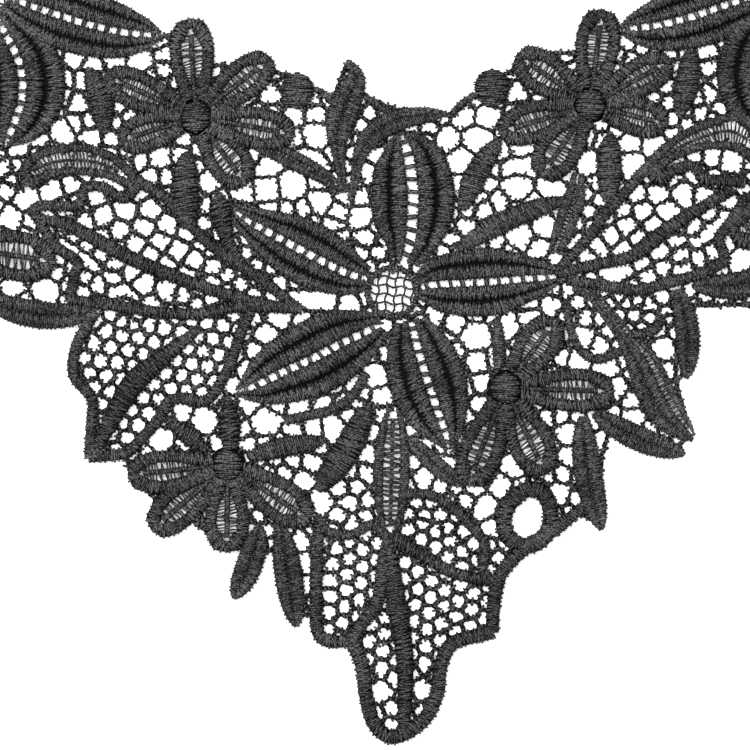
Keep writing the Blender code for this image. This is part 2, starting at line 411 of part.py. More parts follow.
def gap_field(gaps, slots):
    """How deep each grid point lies inside a gap, past the bars round it; negative in bars and net.

    Each gap and each hole of the net is a circle. The bars run where two circles are equally near, by
    distance squared less radius squared, which keeps a big gap's cell big. A slot is a row of circles."""
    circles = [(*gap, number) for number, gap in enumerate(gaps)]
    for number, (x, y, radius, length, turn) in enumerate(slots, len(gaps)):
        across, up = math.cos(math.radians(turn)), math.sin(math.radians(turn))
        for step in np.linspace(-length / 2, length / 2, 1 + round(length / 2)):
            circles.append((x + step * across, y + step * up, radius, number))
    wide = np.array(circles)
    first_net = number = len(gaps) + len(slots)
    for x, y in net_places():
        if (np.hypot(wide[:, 0] - x, wide[:, 1] - y) > wide[:, 2] + NET_RADIUS * 0.8).all():
            circles.append((x, y, NET_RADIUS, number))
            number += 1
    best, second = (np.full(GRID_X.shape, 1e3) for _ in range(2))
    owner = np.full(GRID_X.shape, -1)
    best_x, best_y, second_x, second_y = (np.zeros(GRID_X.shape) for _ in range(4))
    reach = 3 * NET_PITCH
    for x, y, radius, whose in circles:
        left, right = np.searchsorted(columns, (x - reach, x + reach))
        low, high = np.searchsorted(lines, (y - reach, y + reach))
        place = np.s_[low:high, left:right]
        power = (GRID_X[place] - x) ** 2 + (GRID_Y[place] - y) ** 2 - radius**2
        wins = power < best[place]
        new = wins & (owner[place] != whose)
        for old, kept in ((best, second), (best_x, second_x), (best_y, second_y)):
            kept[place][new] = old[place][new]
        near = ~wins & (power < second[place]) & (owner[place] != whose)
        best[place][wins], best_x[place][wins], best_y[place][wins] = power[wins], x, y
        owner[place][wins] = whose
        second[place][near], second_x[place][near], second_y[place][near] = power[near], x, y
    apart = np.maximum(np.hypot(best_x - second_x, best_y - second_y), 0.1)
    depth = (second - best) / (2 * apart) - BAR_WIDTH / 2
    return np.where(owner < first_net, depth, -FAR)


# ---- Outlines from a field


def outlines(field):
    """Closed loops where the field crosses zero, with the inside on the left: holes run clockwise."""
    inside = field < 0
    count = sum(inside[j:j - 1 or None, i:i - 1 or None].astype(int) for j in (0, 1) for i in (0, 1))
    following = {}
    for j, i in zip(*np.nonzero((count > 0) & (count < 4))):
        corners = [(j, i), (j, i + 1), (j + 1, i + 1), (j + 1, i)]
        edges = list(zip(corners, corners[1:] + corners[:1]))
        leaving = [k for k, (a, b) in enumerate(edges) if inside[a] and not inside[b]]
        entering = [k for k, (a, b) in enumerate(edges) if inside[b] and not inside[a]]
        for k in leaving:
            after = min(entering, key=lambda e: (e - k) % 4)
            following[tuple(sorted(edges[k]))] = tuple(sorted(edges[after]))
    loops = []
    while following:
        start, place = following.popitem()
        loop = [start]
        while place != start:
            loop.append(place)
            place = following.pop(place)
        points = []
        for a, b in loop:
            share = field[a] / (field[a] - field[b])
            points.append([axis[a] + (axis[b] - axis[a]) * share for axis in (GRID_X, GRID_Y)])
        loops.append(np.array(points))
    return loops


def area_of(loop):
    """Area inside a loop; negative when it runs clockwise."""
    x, y = loop[:, 0], loop[:, 1]
    return (x * np.roll(y, -1) - y * np.roll(x, -1)).sum() / 2


def simpler(loop):
    """The loop with only the points it needs to stay within the slack of its first shape."""
    far = int(np.hypot(*(loop - loop[0]).T).argmax())
    loop = np.vstack([loop, loop[:1]])
    kept = {0, far}
    spans = [(0, far), (far, len(loop) - 1)]
    while spans:
        a, b = spans.pop()
        if b - a < 2:
            continue
        run = loop[b] - loop[a]
        offset = loop[a + 1:b] - loop[a]
        length = max(np.hypot(*run), 1e-9)
        away = np.abs(run[0] * offset[:, 1] - run[1] * offset[:, 0]) / length
        if away.max() > OUTLINE_SLACK:
            middle = a + 1 + int(away.argmax())
            kept.add(middle)
            spans += [(a, middle), (middle, b)]
    return loop[sorted(kept)]


def body_outlines(field, least_hole):
    """The largest body's outline, then those of its holes, each simplified."""
    loops = outlines(field)
    outer = max(loops, key=area_of)
    x, y = outer[:, 0], outer[:, 1]
    next_x, next_y = np.roll(x, -1), np.roll(y, -1)
    kept = [simpler(outer)]
    for loop in loops:
        if area_of(loop) > -least_hole:
            continue
        at_x, at_y = loop[0]
        crosses = (y > at_y) != (next_y > at_y)
        where = x + (at_y - y) * (next_x - x) / np.where(next_y == y, 1, next_y - y)
        if (crosses & (at_x < where)).sum() % 2:
            hole = simpler(loop)
            if len(hole) > 2:
                kept.append(hole)
    return kept


# ---- Solids


def thread_material(name, colour):
    material = bpy.data.materials.new(name)
    material.use_nodes = True
    shader = material.node_tree.nodes["Principled BSDF"]
    shader.inputs["Base Color"].default_value = colour
    shader.inputs["Roughness"].default_value = 0.7
    shader.inputs["Metallic"].default_value = 0.0
    return material


def add_object(name, shape, colour):
    bmesh.ops.recalc_face_normals(shape, faces=shape.faces[:])
    mesh = bpy.data.meshes.new(name)
    shape.to_mesh(mesh)
    shape.free()
    mesh.materials.append(thread_material(name, colour))
    made = bpy.data.objects.new(name, mesh)
    bpy.context.scene.collection.objects.link(made)
    return made


def plate(name, loops, bottom, thick, colour):
    """A flat piece with holes."""
    shape = bmesh.new()
    for loop in loops:
        corners = [shape.verts.new((x * MM, y * MM, bottom * MM)) for x, y in loop]
        for a, b in zip(corners, corners[1:] + corners[:1]):
            shape.edges.new((a, b))
    bmesh.ops.triangle_fill(shape, use_beauty=True, use_dissolve=False, edges=shape.edges[:])
    grown = bmesh.ops.extrude_face_region(shape, geom=shape.faces[:])
    raised = [part for part in grown["geom"] if isinstance(part, bmesh.types.BMVert)]
    bmesh.ops.translate(shape, verts=raised, vec=(0, 0, thick * MM))
    return add_object(name, shape, colour)


def bridged(name, rings, colour):
    """A body from rings of points with equal counts, closed by a face at each end."""
    shape = bmesh.new()
    made = [[shape.verts.new([value * MM for value in point]) for point in ring] for ring in rings]
    for ring, after in zip(made, made[1:]):
        for k in range(len(ring)):
            right = (k + 1) % len(ring)
            shape.faces.new((ring[k], ring[right], after[right], after[k]))
    shape.faces.new(made[0])
    shape.faces.new(made[-1])
    return add_object(name, shape, colour)


def raised_strip(name, rows, section, high, taken):
    """A petal or leaf: its section, as shares of the half width and the height, carried along the stroke.
    Its sides draw in where another piece already stands."""
    points = stroke(rows, STATION_STEP)
    ahead = np.gradient(points[:, :2], axis=0)
    ahead /= np.hypot(*ahead.T)[:, None]
    runs = [[]]
    for (x, y, width), (run, rise) in zip(points, ahead):
        halves = []
        for side in (1, -1):
            half = width / 2
            while half > 0 and read(taken, x - side * rise * half, y + side * run * half) < PIECE_GAP:
                half -= 0.1
            halves.append(half)
        if min(halves) < NARROWEST / 4 or read(taken, x, y) < PIECE_GAP:
            runs.append([])
            continue
        tall = high * min(1, 0.45 + width / 10)
        ring = []
        for share, lift in section:
            half = halves[0] if share > 0 else halves[1]
            ring.append((x - rise * share * half, y + run * share * half, RAISED_BASE + lift * tall))
        runs[-1].append(ring)
    rings = max(runs, key=len)
    return bridged(name, rings, THREAD)


def leaf_section(groove):
    return [(-1, 0), (1, 0), (1, 0.35), (0.55, 1), (0, 1 - groove), (-0.55, 1), (-1, 0.35)]


PETAL_SECTION = [
    (-1, 0), (1, 0), (1, 0.35), (0.72, 1), (0.45, 0.7), (0.2, 0.95), (0, 0.45), (-0.2, 0.95),
    (-0.45, 0.7), (-0.72, 1), (-1, 0.35)]


# Rings of a small flower from its underside to its button: share of the petals' reach, or radius; and lift.
FLOWER_SECTION = [
    (1, 0, 0), (1, 0, 0.35), (0.72, 0, 1), (0, BUTTON_RADIUS + 0.7, 0.55), (0, BUTTON_RADIUS, 1.1)]


def small_flower(name, centre, petals, taken):
    """A round button with petals about it, drawn on spokes from the button's middle."""
    own = field_of([petal_rows(centre, *petal) for petal in petals])
    spokes = set()
    for tip_x, tip_y, _ in petals:
        aim = math.degrees(math.atan2(tip_y - centre[1], tip_x - centre[0]))
        spokes |= {round((aim + step) % 360, 2) for step in PETAL_SPOKES}
    bearings = sorted(spokes)
    for before, after in list(zip(bearings, bearings[1:] + [bearings[0] + 360])):
        bearings += list(np.arange(before + SPOKE_FILL, after - SPOKE_FILL / 2, SPOKE_FILL))
    least = BUTTON_RADIUS + 1.6
    outline = []
    for bearing in sorted(bearings):
        across, up = math.cos(math.radians(bearing)), math.sin(math.radians(bearing))
        radius = least
        while read(own, centre[0] + across * (radius + 0.2), centre[1] + up * (radius + 0.2)) < 0:
            radius += 0.2
        while radius > least:
            if read(taken, centre[0] + across * radius, centre[1] + up * radius) >= PIECE_GAP:
                break
            radius -= 0.2
        outline.append((across, up, radius))
    rings = []
    for share, inner, lift in FLOWER_SECTION:
        ring = []
        for across, up, radius in outline:
            out = max(share * radius, BUTTON_RADIUS + 1.1) if share else inner
            ring.append((centre[0] + across * out, centre[1] + up * out, RAISED_BASE + lift * FLOWER_HIGH))
        rings.append(ring)
    return bridged(name, rings, THREAD)


def oval(place, radii, turn, count):
    """Points round an egg, narrower towards its upper end."""
    points = []
    for k in range(count):
        bearing = 2 * math.pi * k / count
        across = radii[0] * math.cos(bearing) * (1 - 0.12 * math.sin(bearing))
        up = radii[1] * math.sin(bearing)
        points.append((
            place[0] + across * math.cos(turn) - up * math.sin(turn),
            place[1] + across * math.sin(turn) + up * math.cos(turn)))
    return points


# ---- The raised pieces, in the order in which they take their place


def both_sides(table, lean):
    """A left-hand table's strokes, and the same mirrored for the right."""
    return {
        **{f"{name}_left": rows for name, rows in table.items()},
        **{f"{name}_right": mirrored(rows, lean) for name, rows in table.items()}}


def joined(*fields):
    return np.minimum.reduce(fields)


taken = np.full(GRID_X.shape, FAR)
strokes = []

arm_petals = both_sides(ARM_PETALS, ARM_LEAN)
for name, rows in {**FRONT_PETALS, **{"arm_" + name: rows for name, rows in arm_petals.items()}}.items():
    raised_strip(name, rows, PETAL_SECTION, PETAL_HIGH, taken)
    taken = joined(taken, field_of([rows]))
    strokes.append(rows)

flowers = dict(FRONT_FLOWERS)
for name, (centre, petals) in ARM_FLOWERS.items():
    lean = WING_LEAN if name == "flower_edge" else ARM_LEAN
    flowers[name + "_left"] = centre, petals
    flowers[name + "_right"] = mirrored([centre], lean)[0], mirrored(petals, lean)
for name, (centre, petals) in flowers.items():
    small_flower(name, centre, petals, taken)
    petal_strokes = [petal_rows(centre, *petal) for petal in petals]
    button = [(*centre, 2 * BUTTON_RADIUS + 3.2), (centre[0] + 0.1, centre[1], 2 * BUTTON_RADIUS + 3.2)]
    taken = joined(taken, field_of([*petal_strokes, button]))
    strokes += [*petal_strokes, button]

for name, (x, y, radius) in DOTS.items():
    rings = []
    for share, lift in ((1, 0), (1, 0.5), (0.7, 1)):
        edge = oval((x, y), (radius * share, radius * share), 0, 16)
        rings.append([(*point, RAISED_BASE + lift * LEAF_HIGH) for point in edge])
    bridged(name, rings, THREAD)
    dot = [(x, y, 2 * radius), (x + 0.1, y, 2 * radius)]
    taken = joined(taken, field_of([dot]))
    strokes.append(dot)

leaves = {name: (leaf_rows(*row[:6]), row[6]) for name, row in FRONT_LEAVES.items()}
leaves.update(CURVED_LEAVES)
for name, row in SIDE_LEAVES.items():
    rows = leaf_rows(*row[:6])
    leaves[name + "_left"] = rows, row[6]
    leaves[name + "_right"] = mirrored(rows, ARM_LEAN if "shoulder" in name else WING_LEAN), row[6]
for name, (rows, groove) in leaves.items():
    raised_strip(name, rows, leaf_section(groove), LEAF_HIGH, taken)
    taken = joined(taken, field_of([rows]))
    strokes.append(rows)

ring_edge = limit_field(oval(RING_PLACE, RING_OUTER, RING_TURN, 24))
hole_edge = limit_field(oval(RING_PLACE, RING_HOLE, RING_TURN, 12))

cords = {
    "cords_wing_left": list(WING_CORDS.values()),
    "cords_wing_right": list(RIGHT_WING_CORDS.values()),
    "cords_leaf_left": list(LOWER_LEAF_CORDS.values()),
    "cords_point": list(POINT_CORDS.values())}
raised = {"eyelet_ring": np.maximum(ring_edge, -hole_edge)}
raised.update({name: field_of(rows) for name, rows in {"heart_front": [FRONT_HEART], **cords}.items()})
for name, field in raised.items():
    clear = np.maximum(field, PIECE_GAP - taken)
    plate(name, body_outlines(clear, 1.5), RAISED_BASE, CORD_HIGH, THREAD)
    taken = joined(taken, field)
for rows in cords.values():
    strokes += rows

flat_cords = [FRONT_HEART, ARM_HEART, mirrored(ARM_HEART, ARM_LEAN), *FLAT_CORDS.values()]
for rows in ARM_CORDS.values():
    flat_cords += [rows, mirrored(rows, ARM_LEAN)]

# ---- The ground under them

gaps = FRONT_GAPS + WING_GAPS + ARM_GAPS
for row in ARM_GAPS:
    gaps += mirrored([row], WING_LEAN if row[1] < LEAN_CHANGE else ARM_LEAN)
limit = joined(limit_field(FRONT_LIMIT), limit_field(ARM_LIMIT), limit_field(mirrored(ARM_LIMIT, ARM_LEAN)))
net = np.maximum(gap_field(gaps, FRONT_SLOTS + WING_SLOTS), limit)
ground = np.maximum(joined(field_of(strokes + flat_cords), ring_edge, net), -hole_edge)
for name, (x, y) in PANELS.items():
    own = (GRID_X - x) ** 2 + (GRID_Y - y) ** 2
    seam = np.full(GRID_X.shape, FAR)
    for other, (other_x, other_y) in PANELS.items():
        if other != name:
            theirs = (GRID_X - other_x) ** 2 + (GRID_Y - other_y) ** 2
            seam = np.minimum(seam, (theirs - own) / (2 * math.dist((x, y), (other_x, other_y))))
    panel = np.maximum(ground, SEAM_GAP / 2 - seam)
    plate(name, body_outlines(panel, LEAST_GAP_AREA), 0, GROUND_THICK, GROUND_THREAD)

# ---- Set down with the middle of its underside at the origin

bpy.context.view_layer.update()
corners = np.array([vertex.co for piece in bpy.data.objects for vertex in piece.data.vertices])
middle = (corners.min(axis=0) + corners.max(axis=0)) / 2
for piece in bpy.data.objects:
    piece.location = (-middle[0], -middle[1], -corners[:, 2].min())
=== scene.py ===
"""A guipure lace collar lying flat: satin petals, flowers, leaves and cords stitched on a net of thread.

The tables hold millimetres from the front flower's heart, with +X to the wearer's left and +Y to the neck."""

import math

import bpy
import numpy as np
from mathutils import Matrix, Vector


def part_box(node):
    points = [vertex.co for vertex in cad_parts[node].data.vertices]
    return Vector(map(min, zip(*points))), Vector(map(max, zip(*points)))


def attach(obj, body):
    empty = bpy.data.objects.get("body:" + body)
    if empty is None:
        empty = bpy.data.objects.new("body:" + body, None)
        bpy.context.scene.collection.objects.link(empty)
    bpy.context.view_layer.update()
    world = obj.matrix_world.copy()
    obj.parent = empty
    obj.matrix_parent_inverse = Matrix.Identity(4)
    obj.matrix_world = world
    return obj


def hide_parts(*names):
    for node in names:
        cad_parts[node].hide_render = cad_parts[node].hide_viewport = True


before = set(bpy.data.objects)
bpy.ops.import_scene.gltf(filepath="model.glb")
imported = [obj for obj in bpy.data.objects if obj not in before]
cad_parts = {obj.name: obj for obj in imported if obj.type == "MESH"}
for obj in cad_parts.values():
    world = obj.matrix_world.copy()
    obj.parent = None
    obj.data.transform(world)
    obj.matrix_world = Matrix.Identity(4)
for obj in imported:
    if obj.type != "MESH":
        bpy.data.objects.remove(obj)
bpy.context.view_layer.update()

# ---- Petals of the front flower
# Each is two halves of polyester satin stitch beside an open ladder, and each half is two padded columns with
# a groove between them. The machine lays the stitches across the columns, straight on the ground below.

MM = 0.001
# Where the layout's heart lies in the frame, found from the dot at the left of the neck.
DOT_PLACE = (-24.2, 50.5)
dot_low, dot_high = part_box("dot_left")
SHIFT_X = (dot_low.x + dot_high.x) / 2 - DOT_PLACE[0] * MM
SHIFT_Y = (dot_low.y + dot_high.y) / 2 - DOT_PLACE[1] * MM

# Petal name, then rows of x, y, full width from the heart to the tip.
FRONT_PETALS = {
    "petal_up": [(2.5, 7.8, 7.5), (4.1, 13.2, 14.8), (4.5, 18.2, 20), (4.8, 24.5, 21.5), (4, 32, 18.8),
        (3.1, 35.8, 13.4), (2.2, 38.4, 7.5), (2, 39.8, 2.5)],
    "petal_right": [(6.2, 1.4, 6.5), (10.2, 2.1, 13.2), (16, 2.4, 16.4), (24, 2.8, 17.4), (31, 3.4, 13.8),
        (37, 3.8, 8.4), (43.4, 4.5, 1.5)],
    "petal_down": [(4.2, -7, 8), (5.4, -11.9, 14.5), (7.1, -17.9, 18.9), (9, -23.8, 19.4), (11, -29.8, 16),
        (12.9, -35.2, 9.2), (13.6, -38.9, 2.2)],
    "petal_low_left": [(-3.7, -7.9, 7), (-8.1, -10.2, 13.2), (-13.8, -12.9, 18.2), (-20.4, -16.4, 19.2),
        (-27.2, -19.5, 17), (-32.8, -22.3, 12.2), (-37, -24, 6), (-39.4, -24.5, 1.6)],
    "petal_high_left": [(-6.7, 3.6, 6.4), (-11.6, 4.9, 11.6), (-18.4, 8.2, 16), (-25.1, 11.7, 16),
        (-30.5, 14.7, 12.4), (-37, 18.4, 7), (-41.4, 21.9, 2)],
}
# Half the width of each petal's open ladder, and the most it takes of the petal's own half. Its rungs reach
# under the satin by the tuck, and leave out some points of the line at each end.
LADDER_HALF = {
    "petal_up": 1.05, "petal_right": 0.68, "petal_down": 0.75, "petal_low_left": 0.75, "petal_high_left": 0.8}
LADDER_SHARE = 0.16
RUNG_TUCK = 0.5
RUNG_ENDS = 2
# The two columns of a half petal and the groove between them: the middle and the half width of each, as
# shares of a column's own half.
COLUMN_MIDDLES, COLUMN_SHARE = (0.93, 3.07), 0.89
# A groove is only a near-black bed under the gap between two columns: painted shade in the groove.
GROOVE_MIDDLE, GROOVE_SHARE = 2, 0.5
# Steps along the line of a column, and along what it covers, and the least width of either. Then the width
# that a motif still hides at its very ends.
LINE_STEP = 1.0
COVER_STEP = 0.8
NARROWEST = 0.6
END_COVER = 1.0


def stitch_kind(pitch, width, tooth, crown, ridge, slant, uneven, lift, rise, padded=True):
    """A kind of stitch: its sizes in millimetres, its slant in degrees, and shares for the rest."""
    return {
        "Stitch Pitch": pitch * MM, "Thread Width": width * MM, "Tooth": tooth * MM, "Lift": lift * MM,
        "Most Rise": rise * MM, "Crown": crown, "Ridge": ridge, "Slant": math.radians(slant),
        "Unevenness": uneven, "Padded": padded}


PETAL_SATIN = stitch_kind(
    pitch=0.5, width=0.6, tooth=0.28, crown=0.62, ridge=0.34, slant=4, uneven=0.8, lift=0.7, rise=1.8)
RUNGS = stitch_kind(
    pitch=2.9, width=1.2, tooth=0.1, crown=0.5, ridge=0.5, slant=0, uneven=0.8, lift=0.5, rise=1,
    padded=False)


def stroke(rows, spacing):
    """Centre points and widths, evenly read along a smooth curve through the rows."""
    rows = np.array(rows, float)
    held = np.vstack([2 * rows[0] - rows[1], rows, 2 * rows[-1] - rows[-2]])
    points = []
    for a, b, c, d in zip(held, held[1:], held[2:], held[3:]):
        count = max(1, round(math.dist(b[:2], c[:2]) / spacing))
        for t in np.arange(count) / count:
            squared, cubed = (2 * a - 5 * b + 4 * c - d) * t**2, (3 * b - a - 3 * c + d) * t**3
            points.append((2 * b + (c - a) * t + squared + cubed) / 2)
    points = np.array([*points, rows[-1]])
    points[:, 2] = np.maximum(points[:, 2], min(NARROWEST, rows[:, 2].max()))
    return points


def line_along(points, half):
    """A line of x, y, half width through the points."""
    return np.column_stack([points[:, :2], np.broadcast_to(half, len(points))])


def line_beside(points, offset, half):
    """A line of x, y, half width that keeps an offset to the left of the points."""
    ahead = np.gradient(points[:, :2], axis=0)
    ahead /= np.maximum(np.hypot(*ahead.T), 1e-9)[:, None]
    left = np.stack([-ahead[:, 1], ahead[:, 0]], axis=1)
    return line_along(points[:, :2] + left * offset[:, None], half)


def link(tree, kind, inputs=(), **settings):
    """Adds a node, sets its settings, and feeds its inputs from sockets or plain values."""
    node = tree.nodes.new(kind)
    for name, value in settings.items():
        setattr(node, name, value)
    for key, value in dict(inputs).items():
        if isinstance(value, bpy.types.NodeSocket):
            tree.links.new(value, node.inputs[key])
        else:
            node.inputs[key].default_value = value
    return node


# Every stitch, in shares: how square its arch is, how wide its ends are, and the least and the most that it
# strays in reach, slant, width, height and shade. Then its core's height, width and points across.
ARCH_POWER, END_WIDTH = 2.4, 0.55
REACH_STRAY, SLANT_STRAY, WIDTH_STRAY = (-0.7, 0.3), (-0.3, 0.3), (0.75, 1.2)
HEIGHT_STRAY, SHADE_STRAY = (0.92, 1.06), (0.4, 1.0)
CORE_HIGH, CORE_WIDE, CORE_POINTS = 0.97, 0.93, 7


def satin_stitch_tree():
    """Stitches across every line of a mesh: arched threads over a padded core that fills the column."""
    tree = bpy.data.node_groups.new("satin stitches", "GeometryNodeTree")
    wanted = {
        "Geometry": ["Lines"], "Bool": ["Padded"], "Int": ["Stations", "Seed"], "Material": ["Thread"],
        "Float": [name for name in PETAL_SATIN if name != "Padded"]}
    for kind, names in wanted.items():
        for name in names:
            tree.interface.new_socket(name, in_out="INPUT", socket_type="NodeSocket" + kind)
    tree.interface.new_socket("Stitches", in_out="OUTPUT", socket_type="NodeSocketGeometry")
    given = link(tree, "NodeGroupInput").outputs

    def made(kind, inputs=(), **settings):
        """The first output of a new node."""
        return link(tree, kind, inputs, **settings).outputs[0]

    def reckon(operation, a, b=0.0):
        return made("ShaderNodeMath", {0: a, 1: b}, operation=operation)

    def times(a, b):
        return reckon("MULTIPLY", a, b)

    def plus(a, b):
        return reckon("ADD", a, b)

    def less(a, b):
        return reckon("SUBTRACT", a, b)

    def vector(x, y, z=0.0):
        return made("ShaderNodeCombineXYZ", {0: x, 1: y, 2: z})

    def position():
        return link(tree, "ShaderNodeSeparateXYZ", {0: made("GeometryNodeInputPosition")}).outputs

    def moved(shape, place):
        return made("GeometryNodeSetPosition", {"Geometry": shape, "Position": place})

    def crowded(share):
        """Places from -1 to 1, closer together toward both ends."""
        return reckon("SINE", times(share, math.pi / 2))

    def arch(across):
        """The height of a stitch there: 1 in the middle, 0 at both ends."""
        power = reckon("POWER", reckon("ABSOLUTE", across), ARCH_POWER)
        return reckon("SQRT", reckon("MAXIMUM", less(1.0, power), 0.0))

    def straying(bounds, step):
        """A random value for each stitch, between the bounds and on a seed of its own."""
        found = link(tree, "FunctionNodeRandomValue", {"Seed": plus(given["Seed"], step)}, data_type="FLOAT")
        ends = [socket for socket in found.inputs if socket.type == "VALUE" and socket.name in ("Min", "Max")]
        for end, bound in zip(ends, bounds):
            end.default_value = bound
        return next(socket for socket in found.outputs if socket.type == "VALUE")

    # One thread: two faces wide, arched across the column, with a ridge along its middle.
    grid = made("GeometryNodeMeshGrid", {
        "Size X": 2.0, "Size Y": 1.0, "Vertices X": given["Stations"], "Vertices Y": 3})
    at = position()
    across = crowded(at[0])
    peak = less(1.0, times(reckon("ABSOLUTE", at[1]), 2.0))
    level = plus(times(given["Ridge"], less(peak, 1.0)), 1.0)
    taper = plus(times(arch(across), 1 - END_WIDTH), END_WIDTH)
    place = vector(across, times(at[1], taper), times(arch(across), level))
    # A painted mark: 1 along the thread's ridge mid-column, 0 at its sides and ends; the material turns it
    # into painted highlight and painted shade.
    thread = made("GeometryNodeStoreNamedAttribute", {
        "Geometry": grid, "Name": "painted_crest", "Value": times(peak, arch(across))},
        data_type="FLOAT", domain="POINT")
    thread = moved(thread, place)

    # The threads stand across the line, every second one a little longer.
    lines = made("GeometryNodeMeshToCurve", {"Mesh": given["Lines"]})
    half = made("GeometryNodeInputNamedAttribute", {"Name": "half_width"}, data_type="FLOAT")
    spots = link(tree, "GeometryNodeCurveToPoints", {"Curve": lines, "Length": given["Stitch Pitch"]},
        mode="LENGTH").outputs
    every_second = reckon("MODULO", made("GeometryNodeInputIndex"), 2.0)
    reach = plus(half, times(given["Tooth"], plus(every_second, straying(REACH_STRAY, 1))))
    slant = plus(given["Slant"], times(given["Unevenness"], straying(SLANT_STRAY, 2)))
    turned = made(
        "ShaderNodeVectorRotate", {"Vector": spots["Tangent"], "Angle": slant}, rotation_type="Z_AXIS")
    facing = made("FunctionNodeAlignRotationToVector", {"Vector": turned}, axis="Y", pivot_axis="Z")
    wide = times(given["Thread Width"], straying(WIDTH_STRAY, 3))
    crown = reckon("MINIMUM", times(half, given["Crown"]), given["Most Rise"])
    laid = made("GeometryNodeInstanceOnPoints", {
        "Points": spots["Points"], "Instance": thread, "Rotation": facing,
        "Scale": vector(reach, wide, times(crown, straying(HEIGHT_STRAY, 4)))})
    laid = made("GeometryNodeStoreNamedAttribute", {
        "Geometry": laid, "Name": "thread_shade", "Value": straying(SHADE_STRAY, 5)},
        data_type="FLOAT", domain="INSTANCE")

    # The core follows the line a little below the threads.
    # The core carries no stitch marks, so it takes the darkest colour: painted shade between the stitches.
    below = less(CORE_HIGH, given["Ridge"])
    flat = made("GeometryNodeCurvePrimitiveLine", {"Start": (-1, 0, 0), "End": (1, 0, 0)})
    flat = made("GeometryNodeResampleCurve", {"Curve": flat, "Count": CORE_POINTS}, mode="COUNT")
    core_x = crowded(position()[0])
    core_y = times(times(arch(core_x), given["Crown"]), times(below, -1.0))
    section = moved(flat, vector(core_x, core_y))
    rail = made("GeometryNodeSetCurveNormal", {"Curve": lines}, mode="Z_UP")
    slim = times(half, CORE_WIDE)
    rail = made("GeometryNodeSetCurveRadius", {"Curve": rail, "Radius": slim})
    core = link(tree, "GeometryNodeCurveToMesh", {"Curve": rail, "Profile Curve": section})
    if "Scale" in core.inputs:
        tree.links.new(slim, core.inputs["Scale"])
    at = position()
    top = reckon("MINIMUM", at[2], times(given["Most Rise"], below))
    core = moved(core.outputs[0], vector(at[0], at[1], top))
    core = made("GeometryNodeSwitch", {"Switch": given["Padded"], "True": core}, input_type="GEOMETRY")

    both = link(tree, "GeometryNodeJoinGeometry")
    for layer in (laid, core):
        tree.links.new(layer, both.inputs[0])
    raised = made("GeometryNodeSetPosition", {
        "Geometry": both.outputs[0], "Offset": vector(0.0, 0.0, given["Lift"])})
    real = made("GeometryNodeRealizeInstances", {"Geometry": raised})
    smooth = made("GeometryNodeSetShadeSmooth", {"Geometry": real})
    finished = made("GeometryNodeSetMaterial", {"Geometry": smooth, "Material": given["Thread"]})
    link(tree, "NodeGroupOutput", {0: finished})
    return tree


# How fine the fibres and the worn patches of a thread are. Then the range that each effect is read over, and
# the least and the most light that it lets through.
FIBRE_SCALE, PATCH_SCALE = 1900.0, 55.0
# The crest's effect is painted: painted highlight along each thread's middle, painted shade at its edges and
# ends.
CREST_HIGHLIGHT_AND_SHADE, FIBRE_LIGHT, PATCH_LIGHT = (0.1, 0.9, 0.1, 1), (0.4, 0.62, 0.1, 1.6), (0.3, 0.7, 0.7, 1.3)
# The darkest colour: painted shade on the core, the beds and thread edges, and also the dark of the flecks.
THREAD_DARK_AND_SHADE = (0.002, 0.002, 0.0024)
BUMP_STRENGTH, BUMP_DEEP = 0.9, 0.25


def thread_look_group():
    """Colour and bump height of dyed thread: a tone per stitch, flecks, and painted highlight and shade."""
    tree = bpy.data.node_groups.new("thread look", "ShaderNodeTree")
    for name, way, kind in (
            ("Dark", "INPUT", "Color"), ("Light", "INPUT", "Color"),
            ("Colour", "OUTPUT", "Color"), ("Height", "OUTPUT", "Float")):
        tree.interface.new_socket(name, in_out=way, socket_type="NodeSocket" + kind)
    given = link(tree, "NodeGroupInput").outputs
    place = link(tree, "ShaderNodeTexCoord").outputs["Object"]

    def mark(name):
        return link(tree, "ShaderNodeAttribute", attribute_name=name).outputs["Fac"]

    def noise(scale, detail):
        found = link(tree, "ShaderNodeTexNoise", {"Vector": place, "Scale": scale, "Detail": detail})
        return found.outputs[0]

    # The core and the beds have no stitch marks, which read 0 and give them the darkest colour: painted
    # shade.
    share, crest = mark("thread_shade"), mark("painted_crest")
    fibre, patch = noise(FIBRE_SCALE, 2.0), noise(PATCH_SCALE, 1.0)
    effects = [(crest, CREST_HIGHLIGHT_AND_SHADE), (fibre, FIBRE_LIGHT), (patch, PATCH_LIGHT)]
    for effect, (low, high, least, most) in effects:
        factor = link(tree, "ShaderNodeMapRange", {
            "Value": effect, "From Min": low, "From Max": high, "To Min": least, "To Max": most}).outputs[0]
        share = link(
            tree, "ShaderNodeMath", {0: share, 1: factor}, operation="MULTIPLY", use_clamp=True).outputs[0]
    colour = link(tree, "ShaderNodeMix", data_type="RGBA")
    tree.links.new(share, colour.inputs[0])
    tree.links.new(given["Dark"], colour.inputs[6])
    tree.links.new(given["Light"], colour.inputs[7])
    link(tree, "NodeGroupOutput", {0: colour.outputs[2], 1: fibre})
    return tree


